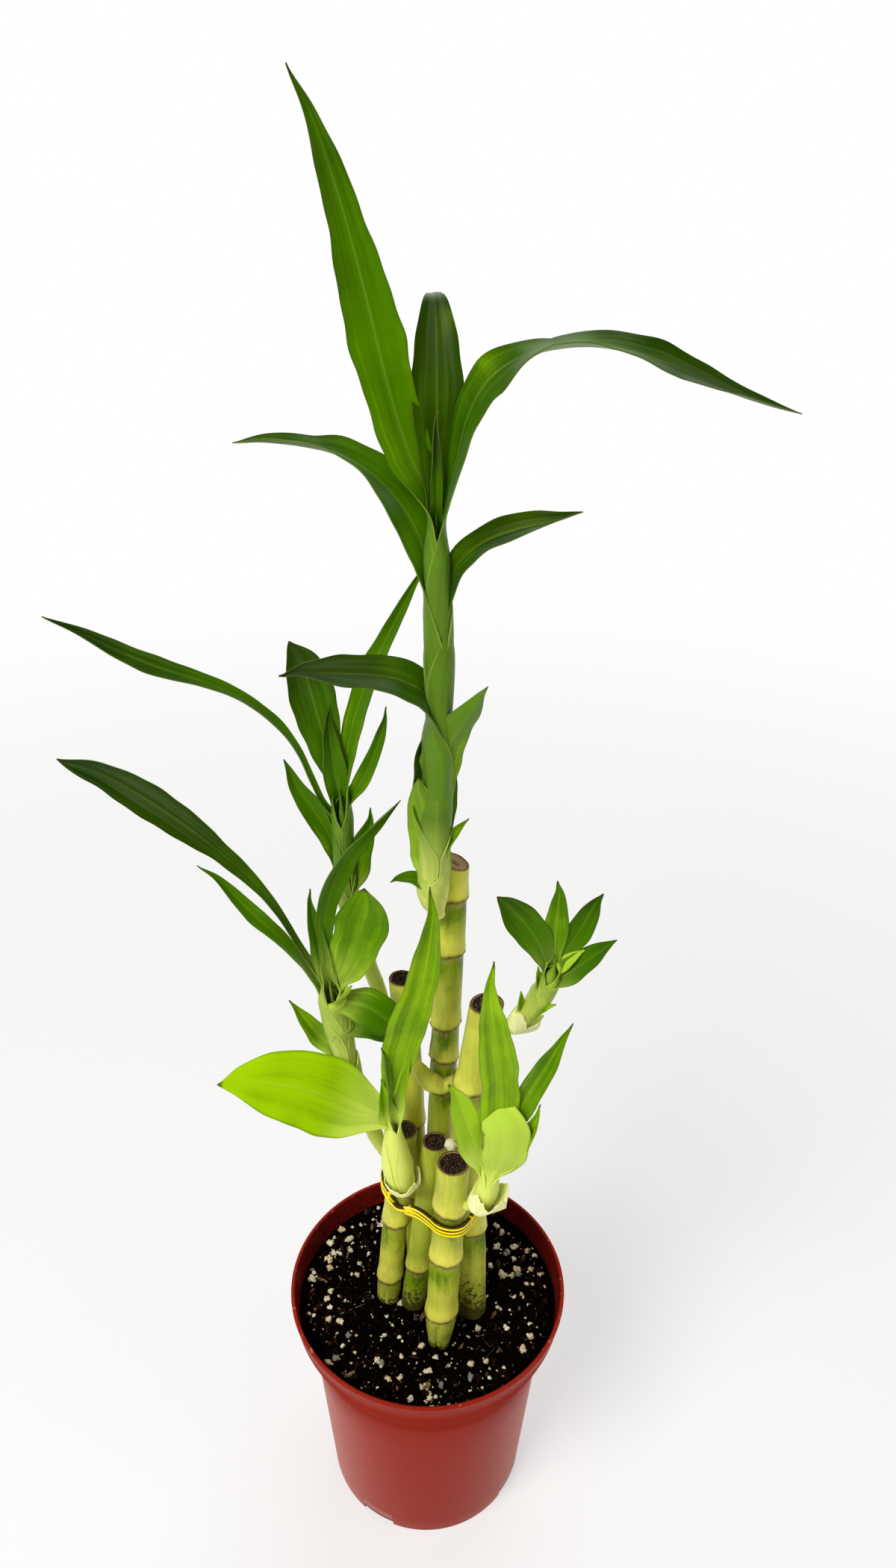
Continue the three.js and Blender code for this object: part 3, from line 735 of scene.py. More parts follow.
def strand_tree():
    """Makes each closed line of edges a round strand. Keeps the distance along and which side faces up."""
    tree, given = new_tree("strands", {"Radius": "Float", "Finish": "Material"})
    line = add_node(tree, "GeometryNodeMeshToCurve", Mesh=given["Geometry"])
    kept = stored(tree, line, "along", add_node(tree, "GeometryNodeSplineParameter", "Length"))
    ring = add_node(tree, "GeometryNodeCurvePrimitiveCircle", Resolution=20, Radius=given["Radius"])
    swept = add_node(tree, "GeometryNodeCurveToMesh", Curve=kept, Profile_Curve=ring)
    upward = add_node(tree, "ShaderNodeSeparateXYZ", "Z", Vector=add_node(tree, "GeometryNodeInputNormal"))
    soft = add_node(tree, "GeometryNodeSetShadeSmooth", Geometry=stored(tree, swept, "upward", upward))
    return end_tree(tree, soft, given["Finish"])


# Pot

def pot_plastic():
    """Terracotta-coloured moulded plastic, with a dull painted sheen on its sides, painted shade on its
    inner wall, a scuffed rim and soil dust inside.
    """
    tint = look("pot")
    gloss = {"Specular_IOR_Level": 0.06, "Specular_Tint": (1, 0.25, 0.1, 1)}
    paint = Paint("terracotta_plastic", tint.plastic, **gloss)
    height = paint.node("ShaderNodeSeparateXYZ", "Z", Vector=paint.place())
    inside = paint.value("inside")
    fine = paint.cloud(1.1, 6, 0.7)
    paint.layer(fine.step(0.3, 0.75), colour(142, 30, 16))
    # Painted shade: the inner wall is darker than the outside
    paint.layer(inside, colour(104, 20, 14))
    dust = inside * paint.cloud(0.9, 6).step(0.5, 0.62)
    paint.layer(dust * height.step(88, 80), colour(26, 12, 8))
    # Pale scuffs on the top of the rim, in the colour of the painted sheen
    rim = height.step(POT_HEIGHT - 0.7, POT_HEIGHT - 0.15)
    paint.layer(rim * paint.cloud(0.45).step(0.62, 0.72) * 0.6, tint.bloom)
    # Painted sheen: the outside of the body, below the neck, lightens where it is seen at shallow angles
    body = inside.times(-0.46, 0.46) * height.step(66, 50)
    paint.layer(paint.facing().step(0.5, 1) * body, tint.bloom)
    paint.bump(paint.cloud(2.2, 3), 0.05, 0.25)
    neck = height.step(62, 69) * height.step(85, 79)
    return paint.finish(Roughness=neck.times(0.5, fine.step(0.2, 0.8).times(0.12, 0.36)))


def rounded(outline, radius, steps=4):
    """An outline of radii and heights with its inner corners rounded."""
    result = [outline[0]]
    for before, corner, after in zip(outline, outline[1:], outline[2:]):
        before, corner, after = (np.array(point, float) for point in (before, corner, after))
        reach = min(radius, np.linalg.norm(before - corner) * 0.45, np.linalg.norm(after - corner) * 0.45)
        start = corner + reach * unit(before - corner)
        end = corner + reach * unit(after - corner)
        for step in range(steps + 1):
            t = step / steps
            result.append(tuple((1 - t) ** 2 * start + 2 * t * (1 - t) * corner + t**2 * end))
    return result + [outline[-1]]


def pot_outline(wall):
    """The pot's wall as one outline: up the outside, over the lip and down the inside."""
    collar, collar_height = COLLAR
    shoulder, shoulder_height = SHOULDER
    centre = 0.4
    foot = [
        (centre, 0),
        (BASE_RADIUS - 4, 0),
        (BASE_RADIUS - 3.4, 0.5),
        (BASE_RADIUS - 1.6, 0.5),
        (BASE_RADIUS - 1.3, 0),
        (BASE_RADIUS, 0),
    ]
    neck = []
    for height in np.linspace(shoulder_height - 8, collar_height + 5.5, 18):
        body = shoulder + (height - shoulder_height) * (shoulder - BASE_RADIUS) / shoulder_height
        band = collar + (height - collar_height) * (RIM_RADIUS - collar) / (POT_HEIGHT - collar_height)
        share = smooth_step(shoulder_height - 7, collar_height + 5, height)
        neck.append((body + (band - body) * share, height))
    lip = [
        (RIM_RADIUS - 0.3, POT_HEIGHT - 1.8),
        (RIM_RADIUS, POT_HEIGHT - 0.9),
        (RIM_RADIUS - 0.1, POT_HEIGHT),
    ]
    inside = [
        (RIM_RADIUS - wall - 0.2, POT_HEIGHT),
        (RIM_RADIUS - wall - 0.35, POT_HEIGHT - 1),
        (collar - wall, collar_height - 0.4),
        (shoulder - wall, shoulder_height - 0.6),
        (BASE_RADIUS - wall, FLOOR),
        (centre, FLOOR),
    ]
    return rounded(foot + neck + lip + inside, 0.6)


def build_pot():
    corners = pot_outline(look("pot").wall / MM)
    outline = []
    for (r0, z0), (r1, z1) in zip(corners, corners[1:]):
        steps = max(1, int(math.hypot(r1 - r0, z1 - z0) / 6))
        for step in range(steps):
            outline.append((r0 + (r1 - r0) * step / steps, z0 + (z1 - z0) * step / steps))
    outline.append(corners[-1])
    sides = 224
    points, faces = turned(outline, sides)
    turn = np.arctan2(points[:, 1], points[:, 0])
    oval = 0.0022 * np.cos(2 * turn + 0.6) * smooth_step(0, POT_HEIGHT, points[:, 2])
    points[:, :2] *= (1 + oval)[:, None]
    lip = max(range(len(outline)), key=lambda index: (outline[index][1], -outline[index][0]))
    inside = np.repeat([float(index > lip) for index in range(len(outline))], sides)
    shell = Form().add(points, faces, inside=inside).piece("pot_shell", [pot_plastic()], 40)
    cut_drains(shell)
    settle(shell, "pot_plastic", "pot")


def cut_drains(shell):
    """Cuts the drain notches through the foot of the pot."""
    length = BASE_RADIUS + 2 - DRAIN["inner"]
    size = Matrix.Diagonal((length, DRAIN["width"], 2 * DRAIN["height"], 1))
    move = Matrix.Translation((DRAIN["inner"] + length / 2, 0, 0))
    cutters = Form()
    for index in range(DRAIN["count"]):
        turn = Matrix.Rotation(math.radians(DRAIN["first"] + index * 360 / DRAIN["count"]), 4, "Z")
        box = bmesh.new()
        bmesh.ops.create_cube(box, size=1)
        bmesh.ops.transform(box, matrix=turn @ move @ size, verts=box.verts)
        cutters.add(*emptied(box))
    cutter = cutters.piece("drain_cutter", [])
    modifier = shell.modifiers.new("Drains", "BOOLEAN")
    modifier.operation = "DIFFERENCE"
    modifier.solver = "EXACT"
    modifier.object = cutter
    cut = applied(shell)
    shell.modifiers.remove(modifier)
    shell.data = cut
    bpy.data.objects.remove(cutter)


# Soil

def peat():
    """Moist peat: near black, with brown crumbs."""
    paint = Paint("moist_peat", look("soil").peat, Roughness=0.8, Specular_IOR_Level=0.01)
    fine = paint.cloud(1.4, 6, 0.7)
    shade = paint.value("shade").times(0.6, paint.cloud(0.12, 4, 0.7) * 0.9)
    paint.layer(shade.step(0.72, 1.1), colour(62, 34, 20))
    paint.layer(fine.step(0.4, 0.56), colour(3, 1, 0))
    paint.bump(fine, 0.5, 0.8)
    return paint.finish()


def perlite():
    """Expanded perlite: off-white, pitted, stained by the peat in places."""
    paint = Paint("perlite_grain", look("soil").perlite, Roughness=0.9, Specular_IOR_Level=0.25)
    shade = paint.value("shade")
    paint.layer(shade, colour(206, 178, 128))
    paint.layer(paint.cloud(1.1, 5, 0.7).step(0.56, 0.68), colour(104, 76, 48))
    paint.layer(shade.step(0.86, 0.92), colour(122, 122, 116))
    paint.bump(paint.cells(2.6), 0.25, 0.7)
    return paint.finish()


def bark():
    """Dry bark and peat fibres, tan with darker streaks."""
    paint = Paint("bark_fibre", look("soil").bark, Roughness=0.85, Specular_IOR_Level=0.3)
    streak = paint.cloud(1.2, 5, 0.7, paint.place(1, 1, 0.3))
    paint.layer(paint.value("shade"), colour(52, 30, 18))
    paint.layer(streak.step(0.45, 0.65), colour(34, 20, 12))
    paint.bump(streak, 0.3, 0.7)
    return paint.finish()


def soil_height(x, y):
    """The soil's surface, which the solid has too."""
    lumps = np.sin(0.31 * x + 1) * np.cos(0.27 * y) + 0.6 * np.sin(0.62 * y - 0.5 * x + 2)
    crumbs = 0.45 * np.sin(1.25 * x + 0.4) * np.sin(1.1 * y + 1.3)
    return SOIL_TOP + 0.9 * (0.5 * lumps + crumbs)


def soil_surface(edge):
    """Rings of points over the soil, from its middle to the pot's wall."""
    sides = 220
    reach = np.linspace(0.5, edge, 62)
    x, y = (np.outer(reach, part(even_turns(sides))).ravel() for part in (np.cos, np.sin))
    level = soil_height(x, y)
    spread = np.hypot(x, y)
    level += (SOIL_EDGE - level) * smooth_step(edge - 5, edge, spread)
    rough = 0.55 * clouds(np.stack([x, y, level], 1), 3.2, 4) * smooth_step(edge, edge - 1.5, spread)
    return np.stack([x, y, level + rough], 1), len(reach), sides


def soil_room(points, edge):
    """How free the surface is of canes and of the pot's wall, from 0 at them to 1."""
    room = smooth_step(edge - 1.3, edge - 2.8, np.hypot(points[:, 0], points[:, 1]))
    for cane in CANES.values():
        x, y, _ = cane.axis[0]
        away = np.hypot(points[:, 0] - x, points[:, 1] - y)
        room = np.minimum(room, smooth_step(cane.radius - 0.4, cane.radius + 0.8, away))
    return room


def lumps(name, count, level, rough, stretch, seed):
    """A hidden collection of irregular lumps of radius 1."""
    store = bpy.data.collections.new(name)
    random = np.random.default_rng(seed)
    for index in range(count):
        points, faces = ball(level)
        shift = Vector(random.uniform(0, 40, 3))
        shape = Vector(random.uniform(0.75, 1.15, 3) * np.array(stretch))
        for point in points:
            swell = 1 + rough * noise.fractal(point * 1.3 + shift, 0.8, 2.1, 3)
            point[:] = [part * size * swell for part, size in zip(point, shape)]
        mesh = bpy.data.meshes.new(name + str(index))
        mesh.from_pydata(points, [], faces)
        mesh.shade_smooth()
        store.objects.link(bpy.data.objects.new(name + str(index), mesh))
    return store


def discard(store):
    for piece in list(store.objects):
        bpy.data.objects.remove(piece)
    bpy.data.collections.remove(store)


def build_soil():
    tint = look("soil")
    wall = look("pot").wall / MM
    slope = (RIM_RADIUS - COLLAR[0]) / (POT_HEIGHT - COLLAR[1])
    edge = COLLAR[0] + slope * (SOIL_EDGE - COLLAR[1]) - wall + 0.05
    surface, rings, sides = soil_surface(edge)
    below = [
        (COLLAR[0] - wall - 0.1, COLLAR[1] - 0.4),
        (SHOULDER[0] - wall - 0.3, SHOULDER[1] - 0.8),
        (BASE_RADIUS - wall - 0.3, SOIL_BOTTOM),
        (0.5, SOIL_BOTTOM),
    ]
    skirt, _ = turned(below, sides)
    faces = [face[::-1] for face in tube_faces(rings + len(below), sides)]
    bed = Form().add(np.vstack([surface, skirt]), faces, shade=0.2)
    settle(bed.piece("soil_bed", [peat()], 80), "soil_mix", "soil")

    # Loose bits: how many shapes, their detail, roughness and stretch, then density, smallest and
    # largest radius, and finish
    tree = scatter_tree()
    white = perlite()
    kinds = [
        ("soil_crumbs", 9, 2, 0.45, (1, 1, 0.8), tint.crumbs, 0.35, tint.crumb / MM, peat()),
        ("soil_perlite", 9, 3, 0.6, (1, 0.85, 0.8), tint.grains, 0.2, tint.grain / MM, white),
        ("soil_bark", 7, 2, 0.5, (1.9, 0.8, 0.45), 22000, 0.3, 1.4, bark()),
        ("soil_fibres", 6, 2, 0.3, (6, 0.3, 0.26), 40000, 0.2, 0.5, bark()),
    ]
    top = {
        "points": surface,
        "faces": tube_faces(rings, sides, False, False),
        "room": soil_room(surface, edge),
    }
    for seed, (name, *shape, density, smallest, largest, finish) in enumerate(kinds, 11):
        start = Form().add(**top).piece(name + "_start", [])
        start.data.flip_normals()
        store = lumps(name + "_shape", *shape, seed)
        sizes = {"Smallest": smallest * MM, "Largest": largest * MM}
        made = grown(name, start, tree, Density=density, Seed=seed, **sizes, Shapes=store, Finish=finish)
        discard(store)
        settle(made, "soil_mix")
    add_lodged_grain(white)


def add_lodged_grain(finish):
    """A grain of perlite that is lodged between the tops of the canes."""
    *middle, radius = LODGED_GRAIN
    points, faces = ball(3, radius)
    for point in points:
        point *= 1 + 0.3 * noise.fractal(point / radius + Vector((5, 2, 9)), 0.8, 2.1, 3)
        point += Vector(middle)
    settle(Form().add(points, faces, shade=0).piece("lodged_perlite", [finish]), "soil_mix")


# Canes

def cane_skin():
    """Cane skin: pale above each node, greener below it, with a brown ring, streaks and soil smears."""
    tint = look("cane")
    paint = Paint("cane_skin", tint.pale, Specular_IOR_Level=0.4, Specular_Tint=(0.8, 0.8, 0.15, 1))
    below = paint.value("below")
    streak = paint.cloud(0.8, 5, 0.65, paint.place(1, 1, 0.07))
    patch = paint.cloud(0.2, 4, 0.55, paint.place(1, 1, 0.45))
    ripe = paint.value("over").times(-0.5, below.times(patch * 1.5, paint.value("green")))
    paint.layer(ripe + streak.times(0.8, -0.52), tint.green)
    paint.layer(patch.step(0.48, 0.62) * (below + 0.3) * 0.6, tint.deep)
    paint.layer(paint.value("halo") * streak.step(0.4, 0.56) * 0.85, colour(184, 148, 92))
    paint.layer(paint.value("line"), tint.ring)
    soiled = paint.value("smear").times(0.32, paint.cloud(0.75, 6, 0.75))
    dirt = soiled.step(0.69, 0.75) * 0.9
    paint.layer(dirt, colour(44, 27, 14))
    paint.bump(streak, 0.15, 0.5)
    paint.bump(dirt, 0.25, 0.6)
    return paint.finish(Roughness=dirt.times(0.4, 0.4))


def cut_end():
    """The dried cut end: dark fibres inside a tan double rim."""
    paint = Paint("dried_cut", colour(128, 92, 54), Roughness=0.9, Specular_IOR_Level=0.2)
    dry = paint.value("dry")
    reach = paint.value("reach")
    fibres = paint.cells(1.5, 1, 1, 0.2)
    paint.layer(dry.times(-0.3, fibres).step(0.1, 0.42), look("cane").cut)
    paint.layer(dry, colour(190, 158, 118))
    rings = (reach * 44).maths("SINE").step(-0.2, 0.6)
    paint.layer(reach.step(0.8, 0.86), paint.blend(rings, colour(190, 160, 100), colour(70, 42, 22)))
    paint.bump(fibres, 0.6, 0.9)
    return paint.finish()


def axis_at(axis, height):
    """Middle of a cane at heights. Its first stretch goes on straight down, its last straight up."""
    axis = np.array(axis, float)
    result = []
    for column in (0, 1):
        inner = np.interp(height, axis[:, 2], axis[:, column])
        for end, next_one in ((0, 1), (-1, -2)):
            slope = (axis[next_one, column] - axis[end, column]) / (axis[next_one, 2] - axis[end, 2])
            past = height < axis[0, 2] if end == 0 else height > axis[-1, 2]
            inner = np.where(past, axis[end, column] + slope * (height - axis[end, 2]), inner)
        result.append(inner)
    return result


def node_distances(nodes, height, turn, seed):
    """Distance over the nearest ring below and under the nearest ring above. The rings tilt and waver."""
    over = np.full(height.shape, 60.0)
    under = np.full(height.shape, 60.0)
    for index, node in enumerate(nodes):
        tilt = 0.6 * np.sin(turn + 2.1 * index + seed) + 0.3 * wander(3 * turn, seed * 10 + index)
        away = height - node - tilt
        over = np.where((away >= 0) & (away < over), away, over)
        under = np.where((away < 0) & (-away < under), -away, under)
    return over, under


def cane_swell(over, under):
    """Share by which the skin stands out: swollen over a ring and drawn in under it."""
    above = 0.09 * smooth_step(7.5, 0.9, over) ** 1.5
    below = -0.04 * smooth_step(9, 1.2, under) + 0.07 * smooth_step(1.2, 0, under)
    return above + below


def cut_top(radius, top, turn, seed):
    """Rings of reach and height over a cane's cut end: a rounded rim, then rough sunken fibres."""
    rim = [(0.985, -0.12), (0.93, 0.0), (0.87, -0.05), (0.83, -0.3), (0.79, -0.1), (0.74, -0.42)]
    inner = [(share, -0.5) for share in (0.62, 0.5, 0.38, 0.26, 0.14, 0.05)]
    shares, drops = np.array(rim + inner).T[:, :, None]
    random = np.random.default_rng(seed + 70)
    rough = random.uniform(-0.25, 0.3, (len(shares), len(turn))) * (shares < 0.8)
    reach = shares * radius * (1 + 0.015 * wander(2 * turn, seed + 5))
    return reach, top + drops + rough + 0.1 * wander(4 * turn, seed + 3)


def build_cane(name, cane, seed, materials):
    top = cane.axis[-1][2]
    first = cane.nodes[0]
    sides = 56
    turn = even_turns(sides)
    rough_rings = np.arange(CANE_FOOT, FINE_FROM, 4)
    heights = np.concatenate([rough_rings, np.arange(FINE_FROM, top - 0.5, 0.55), [top - 0.4]])
    theta, z = np.meshgrid(turn, heights)
    over, under = node_distances(cane.nodes, z, theta, seed)
    ring = np.minimum(over, under)
    jagged = 0.6 + 0.5 * wander(9 * theta, seed + 40)
    ridge = 0.32 * jagged * hump(ring, 0.34) + 0.12 * jagged * hump(under - 1.1, 0.3)
    oval = 0.014 * np.cos(2 * theta + seed) + 0.01 * wander(0.12 * z + 2 * theta, seed + 7)
    reach = cane.radius * (1 + cane_swell(over, under) + oval) + ridge

    # The tapered foot has a crease down its front
    reach *= 1 - cane.foot * smooth_step(first - 3, SOIL_TOP - 1, z)
    facing = np.cos(theta + math.pi / 2 + 0.25) - 1
    reach -= 3 * cane.foot * (hump(facing, 0.012) * smooth_step(first - 2, first - 5, z))

    # The cut end is added on top, and sloped with the rings near it
    end_reach, end_z = cut_top(cane.radius, top, turn, seed)
    ends = len(end_z)
    reach = np.vstack([reach, end_reach])
    z = np.vstack([z, end_z])
    theta = np.vstack([theta, theta[:ends]])
    z = z + smooth_step(top - 2.5, top, z) * cane.slope * reach * np.cos(theta)
    x, y = axis_at(cane.axis, z)
    points = np.stack([x + reach * np.cos(theta), y + reach * np.sin(theta), z], 2)
    faces = tube_faces(len(points), sides)
    skin_faces = (len(points) - ends + 1) * sides
    kinds = [int(index >= skin_faces) for index in range(len(faces))]
    smeared_side = 0.5 + 0.5 * np.cos(theta - math.radians(SMEARED_SIDE))
    smear = cane.smear * np.clip(1.15 - (z - SOIL_TOP) / 34, 0, 1) * smeared_side
    smear += 0.8 * np.exp(-np.maximum(z - SOIL_TOP - 0.5, 0) / 4)
    worn = np.clip(jagged + 0.3, 0, 1)
    halo = smooth_step(3.6, 0.6, under) * worn + 0.5 * smooth_step(0.9, 0.3, over)

    def to_end(values, value_there):
        """Values of the skin, with one value for the cut end added."""
        return np.vstack([values, np.full((ends, sides), float(value_there))]).ravel()

    form = Form().add(
        points,
        faces,
        kinds,
        line=to_end(hump(ring, 0.7) * worn, 0.7),
        halo=to_end(halo, 1),
        below=to_end(smooth_step(15, 1.5, under) * (1 - 3 * cane.foot * (z[:-ends] < first)), 0),
        over=to_end(smooth_step(9, 1, over), 0),
        green=cane.green - 0.12,
        smear=smear.ravel(),
        reach=(reach / cane.radius).ravel(),
        dry=cane.dry,
    )
    if cane.bud:
        add_bud(form, cane.bud)
    settle(form.piece(name + "_skin", materials, 60), "cane_skin", name)


def add_bud(form, points):
    """Adds a side bud that curls round a cane: pale green, with a brown papery tip."""
    sides = 28
    bud = Stem(points)
    along = np.linspace(0, bud.length, 34)
    middle, ahead, radius = bud.sample(along)
    shape = tube_points(middle, ahead, radius * (1 + 0.05 * wander(1.1 * along, 8)), sides)
    share = np.repeat(along / bud.length, sides)
    form.add(
        shape,
        tube_faces(len(along), sides),
        line=0.9 * smooth_step(0.82, 0.97, share),
        halo=smooth_step(0.66, 0.85, share),
        green=0.34 - 0.2 * share,
        reach=1,
        **dict.fromkeys(("below", "over", "smear", "dry"), 0),
    )


# Wire tie

def tie_foil():
    """Yellow foil with broken dark lines of painted shade along the upper and under side of each strand."""
    tint = look("tie")
    paint = Paint("tie_foil", tint.foil, Specular_IOR_Level=0.5, Specular_Tint=(1, 0.85, 0.1, 1))
    along = paint.node("ShaderNodeCombineXYZ", X=paint.value("along") * (1 / MM))
    upward = paint.value("upward")
    wear = paint.cloud(1.3, 5)
    paint.layer(wear.step(0.5, 0.85), colour(246, 178, 4))
    # Painted shade between the strands, in broken lines along the upper and under side of each strand
    lines = upward.step(0.52, 0.6) + upward.step(-0.4, -0.5)
    dark = paint.cloud(0.2, 2, 0.4, along).step(0.38, 0.42) * lines
    paint.layer(dark, tint.core)
    paint.bump(wear, 0.1, 0.5)
    return paint.finish(Roughness=dark.times(0.3, 0.28))


def outline_of(points):
    """The convex outline of points in plan, anticlockwise."""
    ordered = sorted(set(points))

    def chain(row):
        kept = []
        for x, y in row:
            while len(kept) > 1:
                (ax, ay), (bx, by) = kept[-2:]
                if (bx - ax) * (y - ay) - (by - ay) * (x - ax) > 0:
                    break
                kept.pop()
            kept.append((x, y))
        return kept[:-1]

    return chain(ordered) + chain(ordered[::-1])


def tie_height(heading):
    """Height of the tie at a heading in degrees, from -82 to 278."""
    for (a0, z0), (a1, z1) in zip(TIE_HEIGHTS, TIE_HEIGHTS[1:]):
        if heading <= a1:
            return z0 + (z1 - z0) * smooth_step(a0, a1, heading)
    return TIE_HEIGHTS[-1][1]


def reach_at(outline, heading):
    """How far an outline is from the tie's middle at a heading in radians."""
    ray = np.array([math.cos(heading), math.sin(heading)])
    best = 0
    for a, b in zip(outline, outline[1:] + outline[:1]):
        a = np.array(a) - TIE_MIDDLE
        side = np.array(b) - TIE_MIDDLE - a
        scale = ray[0] * side[1] - ray[1] * side[0]
        if abs(scale) < 1e-9:
            continue
        share = (a[0] * ray[1] - a[1] * ray[0]) / scale
        if -1e-6 <= share <= 1 + 1e-6:
            best = max(best, (a[0] * side[1] - a[1] * side[0]) / scale)
    return best


def tie_line(outline, strand, index):
    """The middle of one strand of the tie, once round. The strands cross on its left side."""
    row = []
    for heading in np.linspace(TIE_START, TIE_START + 360, TIE_STEPS, endpoint=False):
        turn = math.radians(heading)
        twist = turn * 2 + index * 2.1
        cross = 1.9 * hump(heading - 205, 16)
        lift = (index - 1) * 1.42 + 0.12 * math.sin(twist * 1.5)
        lift += cross * (1 - index) * 0.9
        out = strand * 0.9 + 0.5 * cross * (index == 1) + 0.06 * math.sin(twist)
        reach = reach_at(outline, turn) + out
        x = TIE_MIDDLE[0] + reach * math.cos(turn)
        y = TIE_MIDDLE[1] + reach * math.sin(turn)
        row.append((x, y, tie_height(heading) + lift))
    return row


def build_tie():
    strand = look("tie").strand / MM
    skin = []
    for cane in CANES.values():
        x, y = axis_at(cane.axis, np.array(float(TIE_LEVEL)))
        reach = cane.radius * 1.06 + 0.12
        for turn in even_turns(24):
            skin.append((float(x) + reach * math.cos(turn), float(y) + reach * math.sin(turn)))
    points = np.vstack([tie_line(outline_of(skin), strand, index) for index in range(3)]) * MM
    edges = []
    for low in range(0, len(points), TIE_STEPS):
        edges.extend((low + step, low + (step + 1) % TIE_STEPS) for step in range(TIE_STEPS))
    mesh = bpy.data.meshes.new("tie_lines")
    mesh.from_pydata(points.tolist(), edges, [])
    start = link(bpy.data.objects.new("tie_lines", mesh))
    made = grown("tie_strands", start, strand_tree(), Radius=strand * MM, Finish=tie_foil())
    settle(made, "tie_foil", "wire_tie")


# Leafy shoots

def leaf_skin(name, underside):
    """Leaf skin, from deep green to lime by tone, pale at the sheath, with veins, midrib and dark tip."""
    tint = look("leaf")
    paint = Paint(name, tint.deep, Specular_IOR_Level=0.42, Specular_Tint=(0.4, 0.6, 0, 1))
    across, share, tone = (paint.value(key) for key in ("across", "share", "tone"))
    vein = paint.cloud(1, 3, 0.55, paint.node("ShaderNodeCombineXYZ", X=across * 26, Y=share, Z=tone))
    band = paint.cloud(1, 2, 0.6, paint.node("ShaderNodeCombineXYZ", X=across * 2.5, Y=share, Z=tone))
    far = share.step(0.35, 1)
    ripe = far.times(tone.times(0.8, -0.58), tone + 0.06)
    for texture, strength in ((paint.cloud(0.07), 0.5), (vein, 0.26), (band, 0.44)):
        ripe += texture.times(strength, -strength / 2)
    paint.layer(ripe.step(-0.05, 0.5), tint.fresh)
    paint.layer(ripe.step(0.45, 1), tint.lime)

    # Painted dull sheen on older leaves, in patches and where they are seen at shallow angles, then the
    # midrib, the pale sheath, the margins and the tip
    patchy = far * band.step(0.4, 0.7)
    dull = patchy.maths("MULTIPLY_ADD", 0.55, paint.facing().step(0.4, 0.95), clamp=True)
    paint.layer(dull * tone.step(0.42, 0.1) * 0.6, tint.bloom)
    middle = across.maths("ABSOLUTE")
    rib = middle.step(0.07, 0.015) * share.step(0.97, 0.7)
    paint.layer(rib * 0.05, tint.pale)
    paint.layer(paint.value("pale") * band.times(1.1, vein.times(0.4, 0.2)), tint.pale)
    paint.layer(middle.step(0.92, 0.98) * share.step(0.1, 0.3) * 0.35, colour(36, 52, 4))
    paint.layer(middle.step(0.94, 0.99) * share.step(0.1, 0.01) * 0.14, tint.pale)
    paint.layer(vein.times(0.02, share).step(0.975, 0.995) * 0.85, colour(52, 38, 18))
    if underside:
        paint.layer(0.16, colour(150, 172, 80))
    paint.bump(vein - rib * 0.6, 0.12, 0.5)
    return paint.finish(Roughness=vein.times(0.18, 0.36 if underside else 0.26))


def width_share(share, neck, blunt, belly):
    """Width of a leaf as a share of its widest, at its belly. A late belly has a long narrow foot."""
    power = 1.3 + 12 * max(belly - 0.42, 0)
    rising = neck + (1 - neck) * np.sin(math.pi / 2 * np.minimum(share / belly, 1)) ** power
    past = np.clip((share - belly) / (1 - belly), 0, 1)
    falling = np.maximum(0.012, (1 - past ** (2 + blunt)) ** 1.05)
    return np.where(share < belly, rising, falling)


class Stem:
    """A stem's smooth line, with its length, direction and radius at close steps."""

    def __init__(self, points):
        points = np.array(points, float)
        self.at = np.linspace(0, len(points) - 1, 500)
        self.places = curve_points(points[:, :3], self.at)
        self.radii = np.interp(self.at, range(len(points)), points[:, 3])
        steps = np.linalg.norm(np.diff(self.places, axis=0), axis=1)
        self.along = np.concatenate([[0], np.cumsum(steps)])
        self.ahead = unit(np.gradient(self.places, axis=0))
        self.length = self.along[-1]

    def along_at_height(self, height):
        """Length along the stem of the one of 81 even stations that is nearest to a height."""
        stations = np.linspace(0, self.length, 81)
        heights = np.interp(stations, self.along, self.places[:, 2])
        return stations[np.argmin(np.abs(heights - height))]

    def sample(self, along):
        """Middle, direction and radius at lengths along the stem, which goes on straight past its ends."""
        inner = np.clip(along, 0, self.length)
        middle = np.stack([np.interp(inner, self.along, self.places[:, axis]) for axis in range(3)], 1)
        ahead = unit(np.stack([np.interp(inner, self.along, self.ahead[:, axis]) for axis in range(3)], 1))
        middle = middle + ahead * (along - inner)[:, None]
        return middle, ahead, np.interp(inner, self.along, self.radii)


def midrib(root, heading, length, rises):
    """Stations of a leaf's midrib, a step apart, as in the solid."""
    steps = max(5, math.ceil(length / 8))
    share = np.arange(steps) / steps
    at = np.clip(share * len(rises) - 0.5, 0, len(rises) - 1)
    rise = np.radians(np.interp(at, range(len(rises)), rises))
    ahead = np.cos(rise)[:, None] * direction(heading) + np.sin(rise)[:, None] * np.array([0, 0, 1])
    return np.vstack([root, root + np.cumsum(ahead * length / steps, axis=0)])


def leaf_faces(rows, columns):
    """Faces of a leaf with an upper and an under grid of points, and the material of each."""
    faces = []
    kinds = []
    under = rows * columns
    for row in range(rows - 1):
        for column in range(columns - 1):
            a = row * columns + column
            b = a + columns
            faces.append((a, b, b + 1, a + 1))
            faces.append((under + a, under + a + 1, under + b + 1, under + b))
            kinds += [0, 1]
        a = row * columns
        b = a + columns
        faces.append((a, under + a, under + b, b))
        a += columns - 1
        b += columns - 1
        faces.append((a, b, under + b, under + a))
        kinds += [1, 1]
    last = (rows - 1) * columns
    for column in range(columns - 1):
        faces.append((column, column + 1, under + column + 1, under + column))
        faces.append((last + column, under + last + column, under + last + column + 1, last + column + 1))
        kinds += [1, 1]
    return faces, kinds


def leaf_frame(stations, share, level, roll):
    """Points of the midrib, and directions along it, across the blade and up from its upper face."""
    last = len(stations) - 1
    fine, rough = (curve_points(stations, np.clip(share + step, 0, 1) * last) for step in (0.004, -0.004))
    ahead = unit(fine - rough)
    side = level * np.cos(roll) + np.cross(ahead, level) * np.sin(roll)
    return curve_points(stations, share * last), ahead, side, np.cross(ahead, side)


